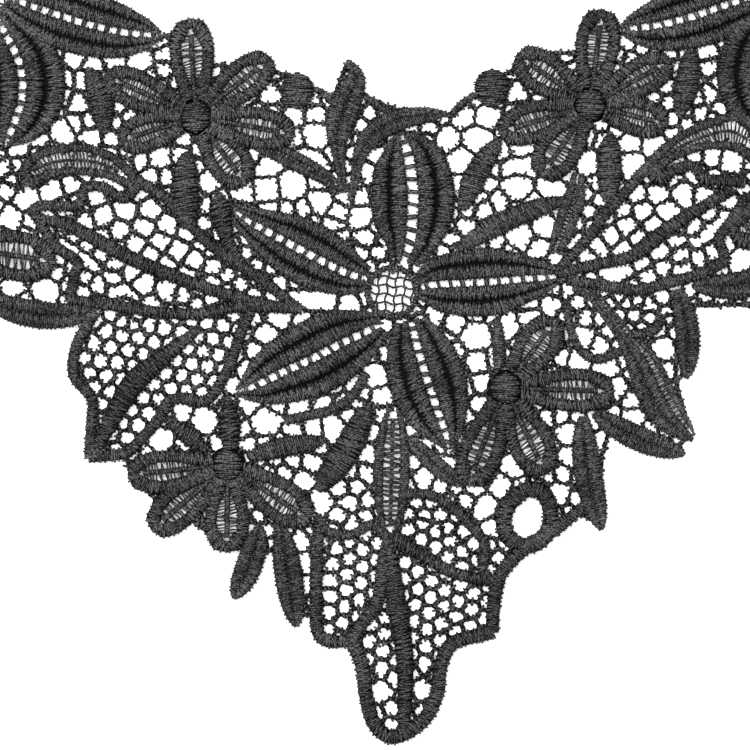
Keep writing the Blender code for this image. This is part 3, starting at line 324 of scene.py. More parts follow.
def thread_material(name, light, rough=0.5):
    """A thread's finish: its shade where it is lightest, and its roughness."""
    material = bpy.data.materials.new(name)
    material.use_nodes = True
    tree = material.node_tree
    shader = tree.nodes["Principled BSDF"]
    look = link(tree, "ShaderNodeGroup", node_tree=LOOK)
    look.inputs["Dark"].default_value = (*THREAD_DARK_AND_SHADE, 1.0)
    look.inputs["Light"].default_value = (*light, 1.0)
    bump = link(tree, "ShaderNodeBump", {
        "Height": look.outputs["Height"], "Strength": BUMP_STRENGTH, "Distance": BUMP_DEEP * MM}).outputs[0]
    tree.links.new(look.outputs["Colour"], shader.inputs["Base Color"])
    tree.links.new(bump, shader.inputs["Normal"])
    shader.inputs["Roughness"].default_value = rough
    shader.inputs["Specular IOR Level"].default_value = 0.05
    shader.inputs["Sheen Weight"].default_value = 0.015
    shader.inputs["Sheen Roughness"].default_value = 0.4
    return material


SATIN = satin_stitch_tree()
LOOK = thread_look_group()


def in_frame(x, y, z=0):
    """A place of the tables in the frame's metres."""
    return x * MM + SHIFT_X, y * MM + SHIFT_Y, z * MM


def placed(name, data):
    """A new object with this data, in the scene."""
    thing = bpy.data.objects.new(name, data)
    bpy.context.scene.collection.objects.link(thing)
    return thing


def stitched(name, lines, kind, thread, seed, stations=7, closed=False):
    """A plain mesh object of stitches laid across lines of x, y, half width in millimetres."""
    places, edges, halves = [], [], []
    for line in lines:
        first = len(places)
        places += [in_frame(x, y) for x, y, _ in line]
        halves += [half * MM for _, _, half in line]
        edges += [(first + k, first + k + 1) for k in range(len(line) - 1)]
        if closed:
            edges.append((len(places) - 1, first))
    mesh = bpy.data.meshes.new(name)
    mesh.from_pydata(places, edges, [])
    mesh.attributes.new("half_width", "FLOAT", "POINT").data.foreach_set("value", halves)
    laid = placed(name, mesh)
    modifier = laid.modifiers.new("stitches", "NODES")
    modifier.node_group = SATIN
    settings = {**kind, "Stations": stations, "Seed": seed, "Thread": thread}
    for socket in SATIN.interface.items_tree:
        if socket.in_out == "INPUT" and socket.name in settings:
            modifier[socket.identifier] = settings[socket.name]
    laid.update_tag()
    graph = bpy.context.evaluated_depsgraph_get()
    plain = bpy.data.meshes.new_from_object(laid.evaluated_get(graph), depsgraph=graph)
    laid.modifiers.clear()
    laid.data = plain
    plain.name = name
    return laid


def sewn(name, pieces, thread, slot, *nodes):
    """The pieces made one object in one thread, which stands for its nodes; the slot is not used."""
    first = pieces[0]
    if len(pieces) > 1:
        with bpy.context.temp_override(active_object=first, selected_editable_objects=pieces):
            bpy.ops.object.join()
    first.name = name
    first.data.materials.clear()
    first.data.materials.append(thread)
    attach(first, "root")
    if nodes:
        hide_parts(*nodes)
    return first


def half_petals(rows, gap):
    """A petal's four columns, the grooves between them, and the line of its ladder."""
    points = stroke(rows, LINE_STEP)
    half = points[:, 2] / 2
    open_half = np.minimum(gap, half * LADDER_SHARE)
    column = (half - open_half) / (2 * len(COLUMN_MIDDLES))
    lines = [
        line_beside(points, side * (open_half + column * middle), column * COLUMN_SHARE)
        for side in (1, -1) for middle in COLUMN_MIDDLES]
    grooves = [
        line_beside(points, side * (open_half + column * GROOVE_MIDDLE), column * GROOVE_SHARE)
        for side in (1, -1)]
    return lines, grooves, line_along(points, open_half + RUNG_TUCK)[RUNG_ENDS:-RUNG_ENDS]


def hidden_by(rows):
    """The discs of x, y, width that a motif hides, drawn in at its ends so that the bars come up to them."""
    points = stroke(rows, COVER_STEP)
    to_end = [np.hypot(*(points[:, :2] - points[end, :2]).T) for end in (0, -1)]
    points[:, 2] = np.minimum(points[:, 2], 2 * np.minimum(*to_end) + END_COVER)
    return points


PETAL_THREAD = thread_material("petal thread", (0.138, 0.132, 0.141))
RUNG_SEED = 50
under_satin = []
covered = []
lace_pieces = []


def make_petal(name, rows, gap, seed):
    """Stitches a large petal and its ladder, and notes what lies under it."""
    lines, grooves, ladder = half_petals(rows, gap)
    satin = stitched(name, lines, PETAL_SATIN, PETAL_THREAD, seed)
    rungs = stitched(name + "_rungs", [ladder], RUNGS, PETAL_THREAD, seed + RUNG_SEED)
    lace_pieces.append(sewn(name + "_satin", [satin, rungs], PETAL_THREAD, "petal_thread", name))
    under_satin.extend(lines + grooves)
    covered.append(hidden_by(rows))


for number, (name, rows) in enumerate(FRONT_PETALS.items()):
    make_petal(name, rows, LADDER_HALF[name], number)

# ---- Petals of the arm flowers
# One large flower of the same polyester satin lies on each arm, worked like the front one and stitched on to
# the arm's net. The right arm mirrors the left one, leaning a little.

ARM_LEAN = 1.5
ARM_PETALS = {
    "petal_inner": [(-96, 74, 7), (-91, 71.8, 13), (-84, 69.5, 16.4), (-76, 67, 16.2), (-68, 65.2, 13.4),
        (-62, 64.6, 8), (-58.5, 64.2, 2.5)],
    "petal_low": [(-99.5, 69, 7), (-97, 64.5, 13), (-94, 58.5, 20), (-92.8, 52, 22), (-93.5, 46.5, 20),
        (-95.5, 41, 13), (-97, 37.2, 3)],
    "petal_outer": [(-107, 72.5, 7), (-112, 70, 14), (-119, 67, 18.5), (-126, 65.2, 18.5), (-133, 63, 14),
        (-138, 60.5, 7), (-141, 58.5, 2)],
    "petal_high": [(-105.5, 79.5, 7), (-109, 84, 14), (-114, 90.5, 18.5), (-118.5, 96.5, 18.5),
        (-123, 102, 13.5), (-126.5, 105.5, 7), (-129, 108, 2)],
    "petal_neck": [(-98.5, 80.5, 7), (-96, 85, 14), (-92, 91.5, 18.5), (-88, 98, 18.5), (-84, 104, 13.5),
        (-81.5, 107.8, 7), (-79.5, 110.5, 2)],
}
ARM_LADDER_HALF = 0.7
ARM_SEED = 10


def heading(degrees):
    """The steps across and up that go this way."""
    return math.cos(math.radians(degrees)), math.sin(math.radians(degrees))


def mirrored(rows, lean):
    """The rows turned over to the other side of the collar, leaning by some degrees about the heart."""
    across, up = heading(lean)
    return [(-x * across - y * up, -x * up + y * across, *rest) for x, y, *rest in rows]


def mirrored_table(table, lean):
    """A left-hand table's rows, turned over for the right."""
    return {name: mirrored(rows, lean) for name, rows in table.items()}


hands = {"left": ARM_PETALS, "right": mirrored_table(ARM_PETALS, ARM_LEAN)}
arm_petals = [(f"arm_{name}_{hand}", rows) for hand, table in hands.items() for name, rows in table.items()]
for number, (name, rows) in enumerate(arm_petals):
    make_petal(name, rows, ARM_LADDER_HALF, ARM_SEED + number)

# ---- Hearts of the large flowers
# An open square net of single threads fills each heart, inside a thick knotted ring where the petals start.
# Both are stitched on to the ground in the petals' polyester thread.

HEARTS = {"heart_front": (-0.4, 0.2, 5.7), "heart_left": (-101.5, 75.3, 5.4)}
HEARTS["heart_right"] = mirrored([HEARTS["heart_left"]], ARM_LEAN)[0]
HEART_NODES = {"heart_front": ["heart_front"]}
HEART_PITCH = 2.15
HEART_TURN = -6.0
HEART_THREAD_HALF = 0.27
HEART_THREAD_POINTS = 13
# How far inside the heart's edge its first thread lies, and how far past it the threads and the ring go.
FIRST_THREAD = 0.7
PAST_EDGE = 0.5
# How far a thread wavers, how often along its length, and how that shifts from thread to thread.
WAVER, WAVER_ALONG, WAVER_SHIFT = 0.28, 1.5, 3.1
HEART_RING_HALF = 0.75
HEART_RING_POINTS = 32
HEART_SEED, HEART_RING_SEED = 30, 40
FINE_THREAD = stitch_kind(
    pitch=0.6, width=0.45, tooth=0.1, crown=1.0, ridge=0.3, slant=25, uneven=1.4, lift=0.9, rise=0.5)
RING_THREAD = stitch_kind(
    pitch=0.8, width=0.75, tooth=0.4, crown=0.9, ridge=0.35, slant=15, uneven=1.6, lift=0.7, rise=1)

for number, (name, (x, y, radius)) in enumerate(HEARTS.items()):
    edge = radius + PAST_EDGE
    lines = []
    for turn in (HEART_TURN, HEART_TURN + 90):
        across, up = heading(turn)
        for offset in np.arange(-radius + FIRST_THREAD, radius, HEART_PITCH):
            reach = math.sqrt(radius**2 - offset**2) + PAST_EDGE
            line = []
            for t in np.linspace(-reach, reach, HEART_THREAD_POINTS):
                aside = offset + WAVER * math.sin(WAVER_ALONG * t + WAVER_SHIFT * offset)
                line.append((x + across * t - up * aside, y + up * t + across * aside, HEART_THREAD_HALF))
            lines.append(line)
    net = stitched(name + "_net", lines, FINE_THREAD, PETAL_THREAD, HEART_SEED + number, stations=4)
    rim = [
        (x + edge * math.cos(t), y + edge * math.sin(t), HEART_RING_HALF)
        for t in np.linspace(0, 2 * math.pi, HEART_RING_POINTS, endpoint=False)]
    ring = stitched(
        name + "_ring", [rim], RING_THREAD, PETAL_THREAD, HEART_RING_SEED + number, stations=5, closed=True)
    nodes = HEART_NODES.get(name, [])
    lace_pieces.append(sewn(name + "_lattice", [net, ring], PETAL_THREAD, "petal_thread", *nodes))
    covered.append(np.array([(x, y, 2 * edge)]))

# ---- Small flowers
# Each petal is a satin rim bent round an open filling: fine rungs of thread over a middle rail. A padded
# button of straight satin covers the petals' inner ends. All of it is polyester, stitched on to the ground.

FLOWER_THREAD = thread_material("flower thread", (0.145, 0.139, 0.148))
# Small flowers: centre, then each petal's tip and width.
FRONT_FLOWERS = {
    "flower_neck_left": ((-49.5, 44), [
        (-51, 68.8, 11.2), (-30.5, 58.8, 10.4), (-24.5, 39.5, 10.6), (-36.8, 27, 11.2), (-69, 37.8, 10),
        (-72.5, 54.5, 10)]),
    "flower_neck_right": ((49, 47), [
        (52, 71, 11.2), (30.5, 59.5, 10.8), (26, 40, 10.6), (36.5, 28.8, 11.2), (68.5, 42, 10),
        (69.5, 58.2, 10)]),
    "flower_front_right": ((27.8, -23.8), [(40.5, -6.4, 10.8), (55.4, -24.6, 11), (38, -45.6, 11.4),
        (18.2, -48.4, 11)]),
    "flower_front_left": ((-41.5, -43), [(-66.8, -45.5, 10.6), (-60.8, -59.5, 10.6), (-41.8, -64.8, 11.2),
        (-20.6, -57, 11)]),
}
ARM_FLOWERS = {
    "flower_edge": ((-111, 12), [
        (-84.2, 7.6, 12.5), (-107, -8.5, 10), (-127, -1, 10), (-132.5, 17.5, 10), (-121, 34, 10),
        (-106, 36, 9)]),
    "flower_shoulder": ((-113, 131), [
        (-91, 127, 10.6), (-98, 147, 10.6), (-117.5, 155, 10.6), (-134, 142, 10.6), (-132.5, 122, 10.6),
        (-109, 110, 9.6)]),
}
WING_LEAN = 5.0
BUTTON_RADIUS = 3.8
BUTTON_POINTS = 15
# The least half width of a button at its ends, squared, and how much wider than the button is what it hides.
BUTTON_END = 0.2
BUTTON_ROOM = 2.4
# The bed of thread under a button, and the share of a column's half that any bed reaches.
BUTTON_BED = 4.7
BED_SHARE = 0.7
# Shares of a small petal's length, with the share of its width there.
PETAL_SHAPE = ((0, 0.4), (0.3, 0.76), (0.55, 0.98), (0.72, 1.0), (0.86, 0.84), (0.95, 0.55), (1, 0.24))
# Shares of its length, with how far its filling is open there. Then how far the rungs reach under the rim,
# and half the rail's width.
OPEN_ALONG = ((0.22, 0.42, 0.78, 0.92), (0, 1, 1, 0))
FILLING_TUCK = 0.45
RAIL_HALF = 0.72
# Points of a petal's line that its rim leaves out at the start and at the end, and half the rim's width, on
# its sides and where it bends round the tip.
RIM_START, RIM_END = 4, 2
RIM_HALF, RIM_TIP_HALF = 1.6, 1.2
FLOWER_SEED, SEEDS_EACH = 100, 5
RIM_SATIN = stitch_kind(
    pitch=0.5, width=0.58, tooth=0.28, crown=0.9, ridge=0.34, slant=6, uneven=1.0, lift=0.75, rise=1.5)
FILLING = stitch_kind(
    pitch=0.74, width=0.57, tooth=0.1, crown=0.2, ridge=0.6, slant=6, uneven=0.65, lift=0.8, rise=0.5,
    padded=False)
RAIL = stitch_kind(
    pitch=0.55, width=0.55, tooth=0.12, crown=0.9, ridge=0.3, slant=20, uneven=0.8, lift=1, rise=0.5)
BUTTON_SATIN = stitch_kind(
    pitch=0.5, width=0.56, tooth=0.15, crown=0.36, ridge=0.25, slant=0, uneven=0.4, lift=1.55, rise=1.5)


def shape_rows(shape, base_x, base_y, tip_x, tip_y, width, bow=0):
    """Rows of x, y, width from base to tip by a shape's shares, the middle pushed to the left by the bow."""
    along = np.array([tip_x - base_x, tip_y - base_y])
    across = np.array([-along[1], along[0]]) / np.hypot(*along)
    rows = []
    for share, wide in shape:
        x, y = np.array([base_x, base_y]) + along * share + across * bow * math.sin(math.pi * share)
        rows.append((x, y, width * wide))
    return rows


def rim_and_filling(centre, tip_x, tip_y, width):
    """A small flower petal's rim, bent round its tip, the line of its filling, and the middle rail."""
    points = stroke(shape_rows(PETAL_SHAPE, *centre, tip_x, tip_y, width), LINE_STEP)
    half = points[:, 2] / 2
    open_half = np.maximum(half - 2 * RIM_HALF, 0) * np.interp(np.linspace(0, 1, len(points)), *OPEN_ALONG)
    rim_half = (half - open_half) / 2
    out = line_beside(points, half - rim_half, rim_half)[RIM_START:-RIM_END]
    back = line_beside(points, rim_half - half, rim_half)[RIM_START:-RIM_END][::-1]
    rim = np.vstack([out, [(*points[-RIM_END][:2], RIM_TIP_HALF)], back])
    inside = slice(RIM_START, -2 * RIM_END)
    return rim, line_along(points, open_half + FILLING_TUCK)[inside], line_along(points, RAIL_HALF)[inside]


def button_line(x, y, radius):
    """The line of a round button, whose stitches run straight across it."""
    return [
        (x, y + t, math.sqrt(max(radius**2 - t**2, BUTTON_END)))
        for t in np.linspace(-radius, radius, BUTTON_POINTS)]


flowers = dict(FRONT_FLOWERS)
for name, (centre, petals) in ARM_FLOWERS.items():
    lean = WING_LEAN if name == "flower_edge" else ARM_LEAN
    flowers[name + "_left"] = centre, petals
    flowers[name + "_right"] = mirrored([centre], lean)[0], mirrored(petals, lean)
for number, (name, (centre, petals)) in enumerate(flowers.items()):
    rims, fillings, rails = zip(*(rim_and_filling(centre, *petal) for petal in petals))
    button = button_line(*centre, BUTTON_RADIUS)
    seed = FLOWER_SEED + number * SEEDS_EACH
    pieces = [
        stitched(name + "_rims", rims, RIM_SATIN, FLOWER_THREAD, seed),
        stitched(name + "_fillings", fillings, FILLING, FLOWER_THREAD, seed + 1, stations=5),
        stitched(name + "_rails", rails, RAIL, FLOWER_THREAD, seed + 2, stations=4),
        stitched(name + "_button", [button], BUTTON_SATIN, FLOWER_THREAD, seed + 3)]
    lace_pieces.append(sewn(name + "_satin", pieces, FLOWER_THREAD, "flower_thread", name))
    under_satin += rims
    # A near-black bed under the button: painted shade in the ring round it.
    under_satin.append([(x, y, half / BED_SHARE) for x, y, half in button_line(*centre, BUTTON_BED)])
    covered += [hidden_by(shape_rows(PETAL_SHAPE, *centre, *petal)) for petal in petals]
    covered.append(np.array([(*centre, 2 * BUTTON_RADIUS + BUTTON_ROOM)]))

# ---- Dots and the eyelet ring
# Padded dots of straight satin sit on the neck edge, and the eyelet is an egg of satin round an open hole.
# Both are polyester thread, stitched over padding threads that lie on the ground.

LEAF_THREAD = thread_material("leaf thread", (0.132, 0.127, 0.135))
CORD_THREAD = thread_material("cord thread", (0.126, 0.121, 0.129))
DOTS = {"dot_left": (*DOT_PLACE, 4.5), "dot_right": (24.5, 51.2, 4.7)}
EYELET_PLACE = (33.5, -56.0)
EYELET_OUTER, EYELET_HOLE = (7.9, 9.5), (3.6, 5.0)
EYELET_TURN = -18
EYELET_CROWN = 0.75
# How much narrower than an oval the egg is at its top.
EYELET_EGG = 0.12
EYELET_POINTS = 36
DOT_SEED, EYELET_SEED = 150, 155
DOT_SATIN = stitch_kind(
    pitch=0.46, width=0.5, tooth=0.2, crown=0.34, ridge=0.16, slant=0, uneven=0.3, lift=0.75, rise=1.6)
CORD_SATIN = stitch_kind(
    pitch=0.56, width=0.65, tooth=0.32, crown=0.9, ridge=0.36, slant=8, uneven=1.0, lift=0.7, rise=1.7)

for number, (name, (x, y, radius)) in enumerate(DOTS.items()):
    satin = stitched(name, [button_line(x, y, radius)], DOT_SATIN, LEAF_THREAD, DOT_SEED + number)
    lace_pieces.append(sewn(name + "_satin", [satin], LEAF_THREAD, "leaf_thread", name))
    covered.append(np.array([(x, y, 2 * radius)]))

turn_x, turn_y = heading(EYELET_TURN)
wide, high = ((outer + hole) / 2 for outer, hole in zip(EYELET_OUTER, EYELET_HOLE))
ring_half = (EYELET_OUTER[0] - EYELET_HOLE[0]) / 2
ring = []
for bearing in np.linspace(0, 2 * math.pi, EYELET_POINTS, endpoint=False):
    across = wide * math.cos(bearing) * (1 - EYELET_EGG * math.sin(bearing))
    up = high * math.sin(bearing)
    x = EYELET_PLACE[0] + across * turn_x - up * turn_y
    y = EYELET_PLACE[1] + across * turn_y + up * turn_x
    ring.append((x, y, ring_half))
satin = stitched(
    "eyelet", [ring], {**CORD_SATIN, "Crown": EYELET_CROWN}, CORD_THREAD, EYELET_SEED, closed=True)
lace_pieces.append(sewn("eyelet_satin", [satin], CORD_THREAD, "cord_thread", "eyelet_ring"))
covered.append(np.array([(*EYELET_PLACE, 2 * EYELET_OUTER[0])]))
covered.append(np.array([(x, y, 2 * half) for x, y, half in ring]))

# ---- Leaves
# Solid leaves are one padded column with the stitches straight across. Others are two or three columns that
# meet, or that stand beside an open ladder. All are polyester satin, stitched on to the ground.

# Ways to work a leaf: its columns and its open ladders, each by its middle and its half as shares of the
# leaf's half width, counted to the left. Then the pitch of the rungs.
PLAIN = ([(0, 1.0)], [], 0)
GROOVED = ([(-0.5, 0.52), (0.5, 0.52)], [], 0)
RAILED = ([(-0.74, 0.28), (0.74, 0.28)], [(0, 0.5)], 1.15)
LADDERED = ([(-0.56, 0.44), (0.56, 0.44)], [(0, 0.16)], 1.0)
LOPSIDED = ([(-0.63, 0.38), (0.05, 0.33), (0.85, 0.18)], [(0.54, 0.22)], 1.2)
# Shares of a leaf's length, with the share of its width there.
LEAF_SHAPE = ((0, 0.3), (0.12, 0.7), (0.32, 0.96), (0.55, 1.0), (0.76, 0.88), (0.92, 0.55), (1, 0.18))
# Base x and y, tip x and y, width, sideways bow of the middle, and how it is worked.
FRONT_LEAVES = {
    "leaf_neck_left": (-37.2, 38.2, -12.8, 26, 4.6, 1.0, LADDERED),
    "leaf_neck_right": (17.2, 20.8, 26.5, 38.2, 6.2, 1.2, PLAIN),
    "leaf_right_upper": (15.8, 10.8, 43.5, 23.5, 5.6, 1.5, PLAIN),
    "leaf_front_low": (-19, -49.2, -6.5, -28, 7.5, -1.2, PLAIN),
    "leaf_low_left": (-33.5, -58.5, -40, -76.2, 6.6, 0.8, GROOVED),
    "leaf_low": (-28.2, -58.5, -24.4, -83.2, 7.0, 0.0, GROOVED),
    "leaf_right_low": (47.2, -31, 51.8, -59, 7.0, -1.0, GROOVED),
    "leaf_right_out": (50, -30, 72.5, -40.2, 6.2, -1.2, GROOVED),
    "leaf_right_edge": (71, 0.8, 73, -21.2, 6.0, 1.3, GROOVED),
    "leaf_point": (-0.2, -29, -1, -60.5, 8.8, 0.0, RAILED),
    "leaf_wing_high_left": (-72.4, 39.8, -76.5, 56.2, 6.4, -1.2, PLAIN),
    "leaf_wing_high_right": (71.2, 44.4, 73.8, 60.8, 6.4, -0.8, PLAIN),
    "leaf_wing_low_left": (-51.8, 16.2, -51.8, 35.2, 7.4, 0.4, PLAIN),
    "leaf_wing_low_right": (53.6, 22.6, 54, 40, 6.6, 0.0, PLAIN),
}
SIDE_LEAVES = {
    "leaf_edge": (-103.5, -0.8, -74.5, -4.8, 6.8, -2.6, GROOVED),
    "leaf_shoulder": (-108, 150, -114, 181, 8.0, -1.5, GROOVED),
}
# Leaves on a curve of their own: rows of x, y, width, and how they are worked. The ground carries the last.
CURVED_LEAVES = {
    "leaf_arched": ([(-11, 23.2, 1.4), (-10, 27.5, 2), (-9.2, 32, 2.8), (-8, 35.8, 4.2), (-6, 38.8, 5.4),
        (-1.5, 42.2, 5.6), (3.5, 43.8, 5), (9, 44.5, 3.6), (13, 44.8, 1.2)], GROOVED),
    "leaf_neck": ([(-12.5, 25.2, 1.6), (-13, 29, 2.2), (-14, 35.8, 3.6), (-14, 40, 6), (-13.1, 44, 7.4),
        (-11.5, 48.2, 7.2), (-9.7, 52.5, 5.2), (-9.8, 55.4, 3.2), (-11.6, 58, 1)], GROOVED),
    "leaf_right_large": ([(45, 1.6, 2.4), (49, 0, 3), (54, -6, 3.6), (58.2, -11.8, 4.8), (62.2, -18, 8.2),
        (64.8, -24.2, 9.4), (68.5, -30.5, 8.4), (72.5, -34.5, 5), (74.6, -36.3, 1.6)], LOPSIDED),
    "leaf_rail": ([(46, 29.8, 3), (45, 23.2, 5.6), (43.5, 19.2, 5.6), (41.8, 14.2, 5.2), (40, 10.5, 3)],
        LADDERED),
}
# Flat leaves that the ground carries: the same columns, worked with no solid of their own.
FLAT_LEAVES = {
    "leaf_flat_left": (-36.5, -41, -17.2, -37, 5.4, 0.6, PLAIN),
    "leaf_flat_right": (3.8, -36.2, 17.6, -48.2, 4.6, -0.8, GROOVED),
    "leaf_lattice": (25.8, -6.3, 25.8, -19.6, 3.2, 0.3, PLAIN),
}
PLAIN_CROWN, COLUMN_CROWN = 0.5, 0.8
LEAF_RAIL_HALF = 0.5
# Points of a leaf's line that a ladder leaves out at each end.
LADDER_ENDS = 3
LEAF_SEED, LEAF_RUNG_SEED, LEAF_RAIL_SEED = 160, 200, 220
LEAF_SATIN = stitch_kind(
    pitch=0.52, width=0.62, tooth=0.28, crown=PLAIN_CROWN, ridge=0.34, slant=5, uneven=0.55, lift=0.7,
    rise=1.7)
LEAF_RUNGS = {**RUNGS, "Thread Width": 0.85 * MM}


def leaf_lines(rows, shares):
    """Lines of x, y, half width along a leaf, at shares of its half width."""
    points = stroke(rows, LINE_STEP)
    half = points[:, 2] / 2
    return [line_beside(points, half * middle, half * wide) for middle, wide in shares]


leaves = {}
for name, (*route, way) in {**FRONT_LEAVES, **FLAT_LEAVES}.items():
    leaves[name] = shape_rows(LEAF_SHAPE, *route), way
leaves.update(CURVED_LEAVES)
for name, (*route, way) in SIDE_LEAVES.items():
    rows = shape_rows(LEAF_SHAPE, *route)
    leaves[name + "_left"] = rows, way
    leaves[name + "_right"] = mirrored(rows, ARM_LEAN if "shoulder" in name else WING_LEAN), way
for number, (name, (rows, way)) in enumerate(leaves.items()):
    columns, openings, pitch = way
    lines = leaf_lines(rows, columns)
    kind = LEAF_SATIN if way is PLAIN else {**LEAF_SATIN, "Crown": COLUMN_CROWN}
    pieces = [stitched(name, lines, kind, LEAF_THREAD, LEAF_SEED + number)]
    ladders = [line[LADDER_ENDS:-LADDER_ENDS] for line in leaf_lines(rows, openings)]
    if ladders:
        rungs = {**LEAF_RUNGS, "Stitch Pitch": pitch * MM}
        pieces.append(stitched(name + "_rungs", ladders, rungs, LEAF_THREAD, LEAF_RUNG_SEED + number))
    if way is RAILED:
        rail = line_along(ladders[0], LEAF_RAIL_HALF)
        pieces.append(
            stitched(name + "_rail", [rail], RAIL, LEAF_THREAD, LEAF_RAIL_SEED + number, stations=4))
    nodes = [] if name in FLAT_LEAVES or name == "leaf_rail" else [name]
    lace_pieces.append(sewn(name + "_satin", pieces, LEAF_THREAD, "leaf_thread", *nodes))
    under_satin += lines
    covered.append(hidden_by(rows))

# ---- Cords
# Round padded cords outline the wings, the lower leaf and the point, and run up their veins. The polyester
# stitches go right over a cord that is laid on the ground, so their ends stand out as small teeth.

# Rows of x, y, width.
WING_CORDS = {
    "upper_edge": [(-23.5, -4.2, 2.6), (-33, 3.2, 3), (-39.8, 7.8, 3), (-47.2, 13.2, 3),
        (-57.2, 23.8, 3), (-64, 27.8, 3)],
    "stem": [(-43.8, 25, 1.5), (-43.5, 21, 6), (-41.5, 13, 3.6), (-38.5, 7.8, 3)],
    "arch_outer": [(-91.5, 26.8, 3.6), (-92, 31.5, 3), (-87.5, 35, 2.2), (-78.5, 36.2, 2), (-71.2, 34.4, 2.2),
        (-66.5, 30.6, 2.6), (-63.5, 27.5, 3)],
    "arch_inner": [(-91.2, 27, 3.6), (-86, 29.6, 2.4), (-80, 30.4, 2), (-72, 29.6, 2), (-66.8, 27.4, 2.2),
        (-64, 27, 2.4)],
    "hook": [(-91.2, 19.5, 2.8), (-88.2, 21.8, 2.8), (-78.8, 21.8, 2.8), (-77.5, 26, 2.8), (-72.8, 26.5, 2.8),
        (-67.5, 23.5, 2.8), (-63.8, 27.2, 3)],
    "outer_edge": [(-89.8, 20, 2.8), (-84.8, 12, 3), (-79, 7.8, 3), (-79.8, 4.5, 3), (-81, -1.8, 3)],
    "vein": [(-88.5, 18.8, 2), (-79.8, 16.2, 3.4), (-66, 8.8, 3.9), (-48.5, 1.8, 3.4), (-36, -1.8, 2.8),
        (-24, -4, 2)],
    "lower_edge": [(-81, -1.8, 3), (-71, -3, 3), (-58.5, -4.8, 3), (-48.5, -5.2, 3), (-38.5, -3.5, 3),
        (-23.5, -4, 2.6)],
}
RIGHT_WING_CORDS = {
    "upper_edge": [(41.5, 6.2, 2.4), (44.2, 9, 2.8), (49.5, 15.2, 3), (52, 18.8, 3), (57.5, 24.8, 3),
        (62.2, 30.2, 3), (64.5, 32, 3)],
    "arch_outer": [(90, 33.4, 3.6), (90.4, 38.5, 3), (87.8, 43, 2.4), (84, 43.8, 2), (77.8, 42, 2.2),
        (71.5, 39, 2.2), (66.5, 35, 2.6), (63, 30.8, 3)],
    "arch_inner": [(90, 33.6, 3.6), (86.5, 36, 2.4), (82, 37, 2), (75, 36, 2), (69, 33.5, 2.2),
        (64.5, 30.2, 3)],
    "hook": [(87.5, 27.6, 3), (81.5, 28.2, 3), (77, 28.5, 3), (75.8, 31.2, 2.8), (73, 31.8, 2.8),
        (69.5, 30.5, 3), (66.5, 28.4, 4.4), (64, 30.2, 3)],
    "outer_edge": [(88.5, 24.5, 2.8), (84.5, 18.2, 3), (81, 13.4, 3), (82.2, 10.5, 3), (82.5, 7.8, 3)],
    "vein": [(40.5, 4.5, 2.2), (47.8, 6.5, 3), (59, 9, 3.4), (63.2, 12, 4.4), (70.2, 17.2, 3.8),
        (77.2, 21.5, 3.2), (84.6, 25.8, 3)],
    "lower_edge": [(82.5, 7.8, 3), (77.2, 5, 3), (70.2, 3, 3), (61.5, 0.8, 3), (54, 1.5, 3), (44, 3.4, 2.6)],
}
LOWER_LEAF_CORDS = {
    "outer_edge": [(-74.8, -5, 3), (-79.2, -13, 3), (-80, -20.5, 3), (-75.5, -26.2, 3), (-75.5, -32, 3),
        (-76, -41, 3)],
    "lower_edge": [(-76, -41, 3), (-67.2, -40, 3), (-63.5, -36.8, 3), (-58.5, -31.2, 3), (-56.5, -27.2, 3),
        (-52.2, -26.2, 3), (-47.8, -27.2, 3), (-44.8, -24.8, 3), (-41, -18, 3), (-38.5, -10.5, 3),
        (-36, -5, 3)],
    "vein": [(-48.5, -8.8, 2), (-58.5, -16.8, 5), (-66, -23.8, 6.2), (-74, -38.5, 3), (-76, -41, 3)],
    "twig": [(-47.2, -38.8, 2.4), (-51, -36, 5), (-57, -31.2, 2)],
    "bud": [(-40.8, -38.8, 4), (-41.2, -32, 6.2), (-41.5, -25.5, 1)],
}
POINT_CORDS = {
    "fan_top": [(2.5, -50, 2.7), (9, -50.5, 2.7), (14, -53, 2.7), (19, -58, 2.7), (22.8, -63, 2.7),
        (22, -69, 2.7), (24.5, -72, 3.2)],
    "fan_low": [(-2.2, -61, 3.2), (1.5, -62.2, 3.2), (9, -66.8, 3.2), (15.2, -70, 3.2), (24.5, -72, 3.2)],
    "ring_out": [(26, -71, 3.6), (28.5, -67.8, 3.6), (33, -63.6, 3.6), (40.5, -58.8, 3.6),
        (47.5, -53.2, 2.5)],
    "ring_down": [(26.5, -70.5, 3.6), (25, -76.8, 3.6), (24.5, -84.8, 3.6)],
    "tip": [(24.5, -84.8, 3.6), (19, -86, 3.8), (14, -88, 3.8), (11.5, -93.8, 3.8), (10.8, -99.8, 3.8),
        (7.8, -106.2, 3.8), (2.8, -110, 3.8), (-1.5, -110.8, 3.8), (-5.2, -107.2, 3.8), (-7, -100.5, 3.8),
        (-8, -93, 3.8), (-10.5, -86.8, 3.8)],
    "vein": [(-1.2, -62.5, 2.9), (0.5, -76.8, 5.3), (2.5, -89.2, 4.8), (2.8, -99.2, 4.1), (2.5, -109.5, 3.1)],
    "fan_edge": [(-18.5, -57, 2.9), (-19.2, -63, 3.4), (-19.5, -76.8, 3.4), (-19.2, -84.2, 3.4),
        (-16.5, -87, 3.4), (-10.5, -86.8, 3.4)],
    "fan_vein": [(-10.5, -86.8, 3.6), (-7.5, -81.8, 3.6), (-4, -76.8, 3.6), (-2.8, -66.8, 3.1),
        (-1.5, -62, 2.9)],
    "fan_arc": [(-18.2, -56, 2.5), (-17.2, -59.2, 2.5), (-11, -60.5, 2.5), (-5.5, -57.8, 2.5),
        (-2.2, -61, 2.5)],
}
